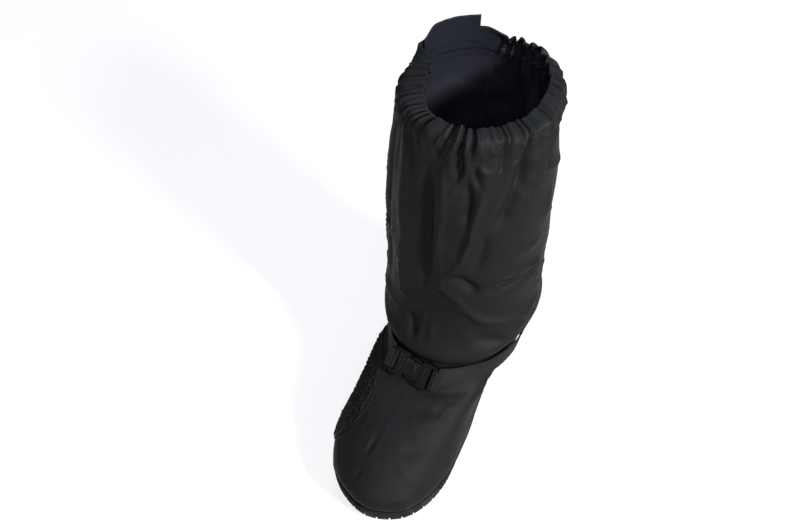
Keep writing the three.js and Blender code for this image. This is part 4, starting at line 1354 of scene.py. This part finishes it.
def arm(side):
    """A spring arm: a flat bar that leaves the plug, bows out and ends in a thumb rest."""
    centre = np.array([(10.5, 7.6), (7, 8.6), (3, 9.7), (-1.5, 10.1), (-5, 9.5), (-8.6, 8)]) * mm
    share = np.linspace(0, 1, len(centre))
    arm_length = 20 * mm
    arm_width = 4 * mm
    thick = 1.9 * mm

    def place(along, across, height):
        x = np.interp(along, share, centre[:, 0])
        bow = (height - 0.5) * thick * (1 + 0.25 * np.sin(along * np.pi))
        y = np.interp(along, share, centre[:, 1]) + bow
        return np.stack([x, side * y, buckle_thickness / 2 + across * thick], -1)

    return band(28, band_section(3, 0.3), place, arm_length, arm_width)


def grips(side):
    """Two raised bars across one end of the buckle."""
    return [
        block(
            (1.3 * mm, long, 0.9 * mm), (side * (buckle_length / 2 - inset), 0, buckle_thickness), 0.8
        )
        for long, inset in ((20 * mm, 8.6 * mm), (18 * mm, 11.4 * mm))
    ]


panel_place = (-1.5 * mm, 0, buckle_thickness - 0.45 * mm)
socket_extras = [block((9.5 * mm, 11 * mm, 0.7 * mm), panel_place, 0.86), *grips(-1)]
plug_extras = [arm(1), arm(-1), *grips(1)]
buckle_parts = []
for node, extras in (("buckle_socket", socket_extras), ("buckle_plug", plug_extras)):
    body = finish_piece(merged_copy(node), node + "_moulding", outward=False)
    round_edges(body, 0.7 * mm)
    whole = join_pieces(extras)
    whole.transform(to_buckle)
    whole.from_mesh(body.data)
    body.data.clear_geometry()
    whole.to_mesh(body.data)
    whole.free()
    smooth_faces(body.data)
    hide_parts(node)
    buckle_parts.append(body)
    print(body.name, count(body))

# %% [markdown]
# ## The zip
#
# Two woven tapes are sewn to the shaft and a nylon coil closes them. Each loop of the coil is one
# stretched icosphere, set a little left or right in turn, which at this size reads as a coil. The
# slider and its pull are rounded copies of their solids, and the pull swings on its own body.

# %% Zip
tape_width = 26 * mm
zip_foot = 84 * mm
zip_top = shaft_height - casing_height - 1 * mm
zip_first, zip_last = row_at_height(np.full(2, zip_turn), np.array([zip_foot, zip_top]))
zip_rows_fine = np.linspace(zip_first, zip_last, 300)
zip_run = length_along(upper_face(np.full(300, zip_turn), zip_rows_fine))


def zip_turn_row(along, side):
    """Turn and row at a share of the way up the zip, and a distance to its side."""
    row = np.interp(along, zip_run / zip_run[-1], zip_rows_fine)
    step = 0.01
    across = upper_face(zip_turn + step, row) - upper_face(zip_turn - step, row)
    length = np.linalg.norm(across, axis=-1)
    return zip_turn + side / length * 2 * step, row


def tape(side):
    def place(along, across, height):
        across = side * mix(0.35 * mm, tape_width / 2, (across + 1) / 2)
        turn, row = zip_turn_row(along, across)
        return skin_spots(turn, row, 0.25 * mm + height * 0.7 * mm)

    return band(160, band_section(7, 0.06), place, float(zip_run[-1]), tape_width / 2)


tapes = finish_piece(join_pieces([tape(-1), tape(1)]), "zip_tapes")
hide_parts("zip_chain")

coil = bmesh.new()
coil_pitch = 1.25 * mm
coil_lift = 1.55 * mm
coil_sideways = 0.85 * mm
coil_loop = (3.6 * mm, 0.95 * mm, 1.5 * mm)
loop_count = int(zip_run[-1] / coil_pitch)
along = (np.arange(loop_count) + 0.5) / loop_count
sideways = np.where(np.arange(loop_count) % 2 == 0, coil_sideways, -coil_sideways)
centres, outs = skin_path(*zip_turn_row(along, sideways), coil_lift)
aheads, _ = skin_path(*zip_turn_row(np.minimum(along + 0.004, 1.0), sideways), coil_lift)
for centre, out, ahead in zip(centres, outs, aheads):
    centre = Vector(centre)
    up_line = (Vector(ahead) - centre).normalized()
    side_line = up_line.cross(Vector(out)).normalized()
    stretched_ball(coil, centre, side_line, up_line, coil_loop)
zip_coil = finish_piece(coil, "zip_coil")

zip_threads = []
shares = np.linspace(0.004, 0.985, 220)
for side in (-11.2 * mm, -8.2 * mm, 8.2 * mm, 11.2 * mm):
    path, normals = skin_path(*zip_turn_row(shares, np.full(220, side)), 1.05 * mm)
    zip_threads.append(stitch_row(path, normals, 3.0 * mm, 2.2 * mm, 0.5 * mm))
zip_stitches = finish_piece(join_pieces(zip_threads), "zip_stitches")

slider = finish_piece(merged_copy("zip_slider"), "slider_casting", outward=False)
round_edges(slider, 0.3 * mm, segments=2)
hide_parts("zip_slider")
pull = finish_piece(merged_copy("zip_pull"), "pull_casting", body="pull", outward=False)
round_edges(pull, 0.3 * mm, segments=2)
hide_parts("zip_pull")
print("zip", [count(o) for o in (tapes, zip_coil, zip_stitches, slider, pull)])

# %% [markdown]
# ## The tab at the back of the rim, and the casing's stitches
#
# A doubled strip of the lining stands above the rim behind the zip, so that a hook or a hand can
# close the collar over it. It is one sheet with a wall and round edges, sewn along its border. One
# row of stitches goes all round the boot where the casing ends.

# %% Closure flap
tab_rise = 21 * mm
tab_height = 28 * mm
tab_shoulder = 11 * mm
tab_cut = flat_start + flat_blend + column_step / 2
tab_sewn = flat_end - flat_blend - column_step / 4
tab_inside = -(upper_wall + 3 * clearance + 1.1 * mm)
tab_wall = 1.65 * mm


def flap_spots(along, share, offset):
    """Places on the tab at a share of its length and height, offset from the upper's face."""
    turn = mix(tab_cut, tab_sewn, along)
    row = np.full(len(turn), collar_low + 0.5)
    normal = upper_normal(turn, row)
    wave = 0.5 * mm * np.sin(9 * along + 1.0) * smooth(0.3, 1, share)
    wave = wave + 0.3 * mm * np.sin(21 * along) * share
    points = upper_face(turn, row) + normal * (offset - np.abs(wave) * 0.6)[:, None]
    drop = tab_shoulder * smooth(tab_sewn - 2 * column_step, tab_sewn, turn) ** 2
    droop = 0.5 * mm * np.sin(6 * along + 0.5) * smooth(0.6, 1, share)
    points[:, 2] = shaft_height + tab_rise - tab_height + share * (tab_height - drop) - np.abs(droop)
    return points


def place_flap(along, across, height):
    return flap_spots(along, (across + 1) / 2, tab_inside - (1 - height) * tab_wall)


tab_length = 72 * mm
piece = band(90, band_section(26, 0.05), place_flap, tab_length, tab_height)
flap = finish_piece(piece, "closure_flap")
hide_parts("closure_tab")

thread_lift = 0.1 * mm
t = np.linspace(0.04, 0.96, 120)
flap_threads = []
top_line = (t, np.full(120, 0.9))
low_line = (t, np.full(120, 0.14))
end_line = (np.full(120, 0.95), mix(0.14, 0.9, t))
for along_line, share_line in (top_line, low_line, end_line):
    for offset, out in ((tab_inside + thread_lift, 1), (tab_inside - tab_wall - thread_lift, -1)):
        path = flap_spots(along_line, share_line, np.full(120, offset))
        turn = mix(tab_cut, tab_sewn, along_line)
        normals = out * upper_normal(turn, np.full(120, collar_low + 0.5))
        flap_threads.append(stitch_row(path, normals, 2.8 * mm, 2.1 * mm, 0.5 * mm))
flap_stitches = finish_piece(join_pieces(flap_threads), "flap_stitches")

stitch_turns = np.linspace(0, 2 * math.pi, 700)
path, normals = skin_path(stitch_turns, np.full(700, collar_low + 0.9), 0.55 * mm)
piece = stitch_row(path, normals, 3.2 * mm, 2.3 * mm, 0.55 * mm)
casing_stitches = finish_piece(piece, "casing_stitches")
print("closure_flap", count(flap), "stitches", count(flap_stitches), count(casing_stitches))

# %% [markdown]
# ## The lining and the insole
#
# Inside hangs a loose lining, smoother and a little bluer than the coated side. It is a second
# skin a little inside the first, with soft waves of its own that only ever go inward, and with
# spare depth where a pleat goes in. A thin board closes the foot from the inside.

# %% Lining and insole
lining_columns = 320
lining_steps = 100
lining_wall = 0.4 * mm
lining_rows = even_rows(5.0, collar_low + 0.8, lining_steps + 1)
lining_shares = np.linspace(0, 1, lining_steps + 1)


def place_lining(across, up):
    turn = across * 2 * np.pi
    row = np.interp(up, lining_shares, lining_rows)
    base = upper_face(turn, row)
    waves = np.sin(5 * turn + 40 * up + 2 * np.sin(9 * up)) * np.sin(17 * up + 3 * turn)
    own = 1.1 * mm * (1 + waves)
    loose = smooth(0, 0.1, up) * (1 - smooth(0.84, 0.92, up))
    spare = 0.7 * np.maximum(-gather(base, turn), 0)
    depth = mix(1.2 * mm, 2.2 * mm, 1 - smooth(0.86, 0.92, up)) + own * loose + spare
    return skin_spots(turn, row) - upper_normal(turn, row) * depth[:, None]


piece, _ = cloth_grid(lining_columns, lining_steps, place_lining, around=True)
thicken(piece, lining_wall)
lining = finish_piece(piece, "lining")


def ring_surface(profile, columns):
    """A closed shape with the sole's outline. Each row: share of the way out, grow, height."""
    profile = np.array(profile)
    steps = len(profile) - 1
    middle_x, middle_y = 0.01 * ball_width, along_to_y(0.52)

    def place(across, up):
        step = np.rint(up * steps).astype(int)
        out, grow, height = profile[step].T
        x, y = outline_point(across * 2 * np.pi, grow)
        x, y = middle_x + (x - middle_x) * out, middle_y + (y - middle_y) * out
        return np.stack([x, y, height + tread_rise(y)], -1)

    piece, _ = cloth_grid(columns, steps, place, around=True)
    return piece


inner_edge = -(upper_inset + 2.1 * mm)
board_low = plate_top + 0.6 * mm
board_high = plate_top + 2.4 * mm
board_round = 0.5 * mm
board_rings = [(share, inner_edge, board_low) for share in (0, 0.5, 0.99)]
board_rings += [(1, inner_edge, board_low + board_round), (1, inner_edge, board_high - board_round)]
board_rings += [(share, inner_edge, board_high) for share in (0.99, 0.9, 0.6, 0.3, 0)]
insole = finish_piece(ring_surface(board_rings, 160), "insole")
print("lining", count(lining), "insole", count(insole))

# %% [markdown]
# ## The sole
#
# The sole is moulded in one go: a plate with a lip that holds the cloth, a groove round its side,
# and lugs. The plate is one closed surface with the sole's outline, made of rings from the middle
# of the tread round the edge to the middle of its top. Each lug is a bevelled block whose corners
# follow the outline, with a shallow pan in its foot.

# %% Outsole
side_groove = 0.9 * mm
plate_rings = [
    # share of the way out, grow, height
    (0, 0, lug_depth), (0.3, 0, lug_depth), (0.6, 0, lug_depth), (0.85, 0, lug_depth), (0.96, 0, lug_depth),
    (1, -0.5 * mm, lug_depth), (1, -0.1 * mm, lug_depth + 0.2 * mm), (1, 0, lug_depth + 0.7 * mm),
    (1, 0, plate_top - 1.5 * mm), (1, -0.2 * mm, plate_top - 1.2 * mm), (1, -side_groove, plate_top - 0.7 * mm),
    (1, -side_groove, plate_top + 0.4 * mm), (1, -0.2 * mm, plate_top + 0.9 * mm), (1, 0, plate_top + 1.3 * mm),
    (1, 0, lip_top - 1.1 * mm), (1, -0.2 * mm, lip_top - 0.4 * mm), (1, -0.8 * mm, lip_top),
    (1, -2.4 * mm, lip_top), (1, -2.9 * mm, lip_top - 0.3 * mm), (1, -3.0 * mm, lip_top - 1.0 * mm),
    (1, -3.0 * mm, plate_top + 0.2 * mm), (0.93, -3.0 * mm, plate_top), (0.7, -3.0 * mm, plate_top),
    (0.35, -3.0 * mm, plate_top), (0, -3.0 * mm, plate_top),
]
plate = ring_surface(plate_rings, 300)
bmesh.ops.recalc_face_normals(plate, faces=plate.faces)


def lug(corners, bevel_width=0.7 * mm, pan=True):
    piece = bmesh.new()
    bmesh.ops.create_cube(piece, size=1.0)
    middle = np.mean(corners, axis=0)
    order = {(-1, -1): 0, (1, -1): 1, (1, 1): 2, (-1, 1): 3}
    for v in piece.verts:
        x, y = corners[order[(int(np.sign(v.co.x)), int(np.sign(v.co.y)))]]
        if v.co.z < 0:
            x, y = mix(x, middle[0], 0.1), mix(y, middle[1], 0.1)
        rise = 0.0 if v.co.z < 0 else lug_depth + 1.5 * mm
        v.co = (x, y, rise + float(tread_rise(y)))
    bmesh.ops.recalc_face_normals(piece, faces=piece.faces)
    if pan:
        foot = [f for f in piece.faces if f.normal.z < -0.9]
        bmesh.ops.inset_individual(piece, faces=foot, thickness=1.5 * mm, depth=0.0)
        bmesh.ops.inset_individual(piece, faces=foot, thickness=0.5 * mm, depth=-0.6 * mm)
    edges = [e for e in piece.edges if e.calc_face_angle(0) > math.radians(50)]
    bmesh.ops.bevel(
        piece, geom=edges, offset=bevel_width, offset_type="OFFSET", segments=2, profile=0.5,
        affect="EDGES", material=-1, clamp_overlap=True,
    )
    return piece


rim_lug_pitch, rim_lug_width, rim_lug_length, rim_nub = 13 * mm, 11.9 * mm, 10 * mm, 0.1 * mm
rim_lugs = 2 * round(float(outline_length[-1]) / rim_lug_pitch / 2)
lugs = []
for i in range(rim_lugs):
    middle = (i + 0.5) / rim_lugs * 2 * math.pi
    half = rim_lug_width / float(outline_length[-1]) * math.pi
    ring = [(-half, rim_nub), (half, rim_nub), (half, rim_nub - rim_lug_length), (-half, rim_nub - rim_lug_length)]
    lugs.append(lug([tuple(float(v) for v in outline_point(np.float64(middle + a), g)) for a, g in ring]))


def bar(x, y, size_x, size_y, skew):
    corners = [(-1, -1), (1, -1), (1, 1), (-1, 1)]
    return lug([(x + a * size_x / 2, y + b * size_y / 2 - a * skew) for a, b in corners])


rest_pad, bar_width = 26 * mm, 7 * mm
ball_middle, ball_y = 0.02 * ball_width, along_to_y(0.68)
lugs.append(bar(0, 0, rest_pad, rest_pad, 0))
lugs.append(bar(ball_middle, ball_y, rest_pad * 1.4, rest_pad, 0))
BARS = [
    # along the sole, reach as a share of the local width
    (0.055, 0.18), (0.205, 0.26), (0.245, 0.26), (0.55, 0.3), (0.6, 0.31), (0.76, 0.33), (0.81, 0.31),
    (0.86, 0.27), (0.91, 0.2),
]
for along, share in BARS:
    width = float(mix(heel_width, ball_width, smooth(0.2, 0.6, along)))
    reach = share * width
    for side in (-1, 1):
        middle = ball_middle * float(smooth(0.3, 0.7, along)) + side * reach / 2
        lugs.append(bar(middle, along_to_y(along), reach * 0.82, bar_width, side * 2 * mm))
for side in (-1, 1):
    lugs.append(bar(ball_middle + side * (rest_pad * 0.7 + bar_width), ball_y, bar_width, rest_pad, 0))

sole = finish_piece(join_pieces([plate, *lugs]), "rubber_sole", outward=False)
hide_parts("outsole")
print("rubber_sole", count(sole), "triangles,", len(lugs), "lugs")

# %% [markdown]
# ## Effects that several finishes share
#
# Grain, woven ribs, scattered wear and dust are node groups. Each is built once, with its sizes as
# inputs, and gives out heights or masks. The shaders themselves stay in the materials.


# %% Effect groups
def new_group(name, inputs, outputs):
    group = bpy.data.node_groups.new(name, "ShaderNodeTree")
    for label, value in inputs:
        socket = group.interface.new_socket(label, in_out="INPUT", socket_type="NodeSocketFloat")
        socket.default_value = value
    for label in outputs:
        group.interface.new_socket(label, in_out="OUTPUT", socket_type="NodeSocketFloat")
    return group, group.nodes.new("NodeGroupInput"), group.nodes.new("NodeGroupOutput")


def math_node(group, operation, a, b=0.0, c=None):
    node = group.nodes.new("ShaderNodeMath")
    node.operation = operation
    for socket, value in zip(node.inputs, (a, b) if c is None else (a, b, c)):
        if isinstance(value, bpy.types.NodeSocket):
            group.links.new(value, socket)
        else:
            socket.default_value = value
    return node.outputs[0]


def noise_node(group, vector, scale, detail, rough=0.5):
    node = group.nodes.new("ShaderNodeTexNoise")
    group.links.new(vector, node.inputs["Vector"])
    if isinstance(scale, bpy.types.NodeSocket):
        group.links.new(scale, node.inputs["Scale"])
    else:
        node.inputs["Scale"].default_value = scale
    node.inputs["Detail"].default_value = detail
    node.inputs["Roughness"].default_value = rough
    return node.outputs["Fac"]


def build_grain():
    """Crinkles and a fine grain over them, on the object's own coordinates."""
    group, enter, leave = new_group(
        "grain", [("Crinkles per metre", 160.0), ("Grains per metre", 1400.0), ("Share of grain", 0.3)], ["Height", "Tone"]
    )
    place = group.nodes.new("ShaderNodeTexCoord").outputs["Object"]
    crinkle = noise_node(group, place, enter.outputs["Crinkles per metre"], 3.0)
    grain = noise_node(group, place, enter.outputs["Grains per metre"], 2.0)
    tone = noise_node(group, place, 14.0, 4.0, 0.6)
    height = math_node(group, "MULTIPLY_ADD", grain, enter.outputs["Share of grain"], crinkle)
    group.links.new(height, leave.inputs["Height"])
    group.links.new(tone, leave.inputs["Tone"])
    return group


def build_ribs():
    """Woven ribs across a band and threads along it, on the band's own UV map in metres."""
    group, enter, leave = new_group("woven ribs", [("Rib pitch", 0.0014), ("Thread pitch", 0.0007)], ["Height"])
    uv = group.nodes.new("ShaderNodeUVMap")
    uv.uv_map = "cloth"
    split = group.nodes.new("ShaderNodeSeparateXYZ")
    group.links.new(uv.outputs["UV"], split.inputs[0])
    rib = math_node(group, "DIVIDE", split.outputs["X"], enter.outputs["Rib pitch"])
    thread = math_node(group, "DIVIDE", split.outputs["Y"], enter.outputs["Thread pitch"])
    odd = math_node(group, "MULTIPLY", math_node(group, "FLOOR", rib), 0.5)
    rib_wave = math_node(group, "ABSOLUTE", math_node(group, "SINE", math_node(group, "MULTIPLY", rib, math.pi)))
    shifted = math_node(group, "MULTIPLY", math_node(group, "ADD", thread, odd), math.pi)
    thread_wave = math_node(group, "ABSOLUTE", math_node(group, "SINE", shifted))
    height = math_node(group, "MULTIPLY_ADD", thread_wave, 0.35, rib_wave)
    group.links.new(height, leave.inputs["Height"])
    return group


def build_wear():
    """A mask of dust and rubbed spots: thick near the floor, thin and scattered above."""
    group, enter, leave = new_group("dust and wear", [("Amount", 0.5), ("Floor height", 0.03)], ["Mask"])
    place = group.nodes.new("ShaderNodeTexCoord").outputs["Object"]
    split = group.nodes.new("ShaderNodeSeparateXYZ")
    group.links.new(place, split.inputs[0])
    low = math_node(group, "DIVIDE", split.outputs["Z"], enter.outputs["Floor height"])
    low = math_node(group, "SUBTRACT", 1.0, math_node(group, "MINIMUM", low, 1.0))
    spots = noise_node(group, place, 60.0, 5.0, 0.65)
    spots = math_node(group, "MAXIMUM", math_node(group, "MULTIPLY_ADD", spots, 3.0, -1.55), 0.0)
    mask = math_node(group, "MULTIPLY", math_node(group, "MULTIPLY_ADD", low, 0.8, 0.2), spots)
    mask = math_node(group, "MINIMUM", math_node(group, "MULTIPLY", mask, enter.outputs["Amount"]), 1.0)
    group.links.new(mask, leave.inputs["Mask"])
    return group


grain_group, rib_group, wear_group = build_grain(), build_ribs(), build_wear()
print("groups:", grain_group.name, rib_group.name, wear_group.name)

# %% [markdown]
# ## Finishes
#
# Every finish here is nearly black, so what tells them apart is how sharply and how strongly they
# reflect. Coated cloth has a soft, broad sheen broken by crinkles. Rubber is duller and greener.
# Moulded plastic has tight glints. The base colour only drifts a little from place to place.


# %% Finishes
def make_finish(
    name, dark, light, roughness, spread, specular, grain, depth, wear=0.0, ribs=None, metallic=0.0, sheen=0.0,
    coat=0.0,
):
    """A material: grain is crinkles and grains per metre and the grain's share; ribs is two pitches."""
    material = bpy.data.materials.new(name)
    material.use_nodes = True
    tree = material.node_tree
    shader = tree.nodes["Principled BSDF"]
    shader.inputs["Metallic"].default_value = metallic
    shader.inputs["Specular IOR Level"].default_value = specular
    shader.inputs["Sheen Weight"].default_value = sheen
    shader.inputs["Coat Weight"].default_value = coat
    if sheen:
        shader.inputs["Sheen Roughness"].default_value = 0.4
        shader.inputs["Sheen Tint"].default_value = (0.75, 0.8, 0.95, 1.0)
    if coat:
        shader.inputs["Coat Roughness"].default_value = 0.22
    texture = tree.nodes.new("ShaderNodeGroup")
    texture.node_tree = grain_group
    for socket, value in zip(texture.inputs, grain):
        socket.default_value = value
    colours = tree.nodes.new("ShaderNodeMix")
    colours.data_type = "RGBA"
    colours.inputs["A"].default_value = (*dark, 1.0)
    colours.inputs["B"].default_value = (*light, 1.0)
    tree.links.new(texture.outputs["Tone"], colours.inputs["Factor"])
    colour = colours.outputs["Result"]
    if wear:
        dust = tree.nodes.new("ShaderNodeGroup")
        dust.node_tree = wear_group
        dust.inputs["Amount"].default_value = wear
        dusty = tree.nodes.new("ShaderNodeMix")
        dusty.data_type = "RGBA"
        dusty.inputs["B"].default_value = (0.05, 0.05, 0.045, 1.0)
        tree.links.new(dust.outputs["Mask"], dusty.inputs["Factor"])
        tree.links.new(colour, dusty.inputs["A"])
        colour = dusty.outputs["Result"]
    tree.links.new(colour, shader.inputs["Base Color"])
    shine = tree.nodes.new("ShaderNodeMapRange")
    shine.inputs["From Min"].default_value = 0.3
    shine.inputs["From Max"].default_value = 0.7
    shine.inputs["To Min"].default_value = roughness - spread
    shine.inputs["To Max"].default_value = roughness + spread
    tree.links.new(texture.outputs["Tone"], shine.inputs["Value"])
    tree.links.new(shine.outputs["Result"], shader.inputs["Roughness"])
    relief_node = tree.nodes.new("ShaderNodeBump")
    relief_node.inputs["Strength"].default_value = 1.0
    relief_node.inputs["Distance"].default_value = depth
    tree.links.new(texture.outputs["Height"], relief_node.inputs["Height"])
    last = relief_node
    if ribs:
        woven = tree.nodes.new("ShaderNodeGroup")
        woven.node_tree = rib_group
        woven.inputs["Rib pitch"].default_value = ribs[0]
        woven.inputs["Thread pitch"].default_value = ribs[1]
        last = tree.nodes.new("ShaderNodeBump")
        last.inputs["Strength"].default_value = 1.0
        last.inputs["Distance"].default_value = ribs[2]
        tree.links.new(woven.outputs["Height"], last.inputs["Height"])
        tree.links.new(relief_node.outputs["Normal"], last.inputs["Normal"])
    tree.links.new(last.outputs["Normal"], shader.inputs["Normal"])
    return material


coated = make_finish(
    "coated cloth", (0.0033, 0.0035, 0.0036), (0.0057, 0.006, 0.0062), 0.6, 0.06, 0.06,
    (190.0, 2400.0, 0.12), 0.2 * mm, wear=0.1,
)
lining_cloth = make_finish(
    "lining cloth", (0.0042, 0.0045, 0.0068), (0.0072, 0.0076, 0.0113), 0.6, 0.05, 0.08,
    (120.0, 3000.0, 0.1), 0.2 * mm,
)
patch_rubber = make_finish(
    "patch rubber", (0.0026, 0.0029, 0.0025), (0.0044, 0.0048, 0.0042), 0.6, 0.06, 0.06,
    (600.0, 3000.0, 0.4), 0.08 * mm, wear=0.05,
)
sole_rubber = make_finish(
    "sole rubber", (0.0034, 0.0034, 0.0029), (0.0058, 0.0058, 0.005), 0.7, 0.06, 0.08,
    (500.0, 3000.0, 0.5), 0.08 * mm, wear=0.8,
)
plastic = make_finish(
    "moulded plastic", (0.0014, 0.0014, 0.0014), (0.0024, 0.0024, 0.0024), 0.24, 0.04, 0.22,
    (900.0, 4000.0, 0.3), 0.02 * mm,
)
webbing = make_finish(
    "ribbed webbing", (0.0036, 0.004, 0.0037), (0.006, 0.0065, 0.006), 0.66, 0.05, 0.12,
    (300.0, 3000.0, 0.3), 0.05 * mm, ribs=(1.8 * mm, 0.9 * mm, 0.35 * mm),
)
tape_cloth = make_finish(
    "zip tape", (0.005, 0.005, 0.0053), (0.0085, 0.0085, 0.009), 0.65, 0.05, 0.18,
    (300.0, 3000.0, 0.3), 0.04 * mm, ribs=(0.8 * mm, 0.9 * mm, 0.1 * mm),
)
thread = make_finish(
    "black thread", (0.004, 0.004, 0.0043), (0.0065, 0.0065, 0.007), 0.55, 0.05, 0.12,
    (2000.0, 6000.0, 0.5), 0.03 * mm,
)
coil_plastic = make_finish(
    "nylon coil", (0.004, 0.004, 0.004), (0.007, 0.007, 0.007), 0.35, 0.05, 0.3,
    (900.0, 4000.0, 0.3), 0.02 * mm,
)
plated = make_finish(
    "plated metal", (0.5, 0.5, 0.49), (0.62, 0.62, 0.6), 0.3, 0.06, 0.5,
    (700.0, 4000.0, 0.4), 0.02 * mm, metallic=1.0,
)
finishes = [
    (coated, (upper_cloth, collar_cloth, vamp_welt)),
    (lining_cloth, (flap, lining, insole)),
    (patch_rubber, (grip,)),
    (sole_rubber, (sole,)),
    (plastic, buckle_parts),
    (webbing, (strap, loops)),
    (tape_cloth, (tapes,)),
    (thread, (seam_stitches, patch_stitches, zip_stitches, flap_stitches, casing_stitches)),
    (coil_plastic, (zip_coil,)),
    (plated, (slider, pull)),
]
for material, pieces in finishes:
    for one in pieces:
        if one.data.materials:
            one.data.materials.clear()
        one.data.materials.append(material)
collar_cloth.data.materials.append(lining_cloth)
print(len(finishes), "finishes on", sum(len(pieces) for _, pieces in finishes), "pieces")

# %% Finish
bpy.context.view_layer.update()
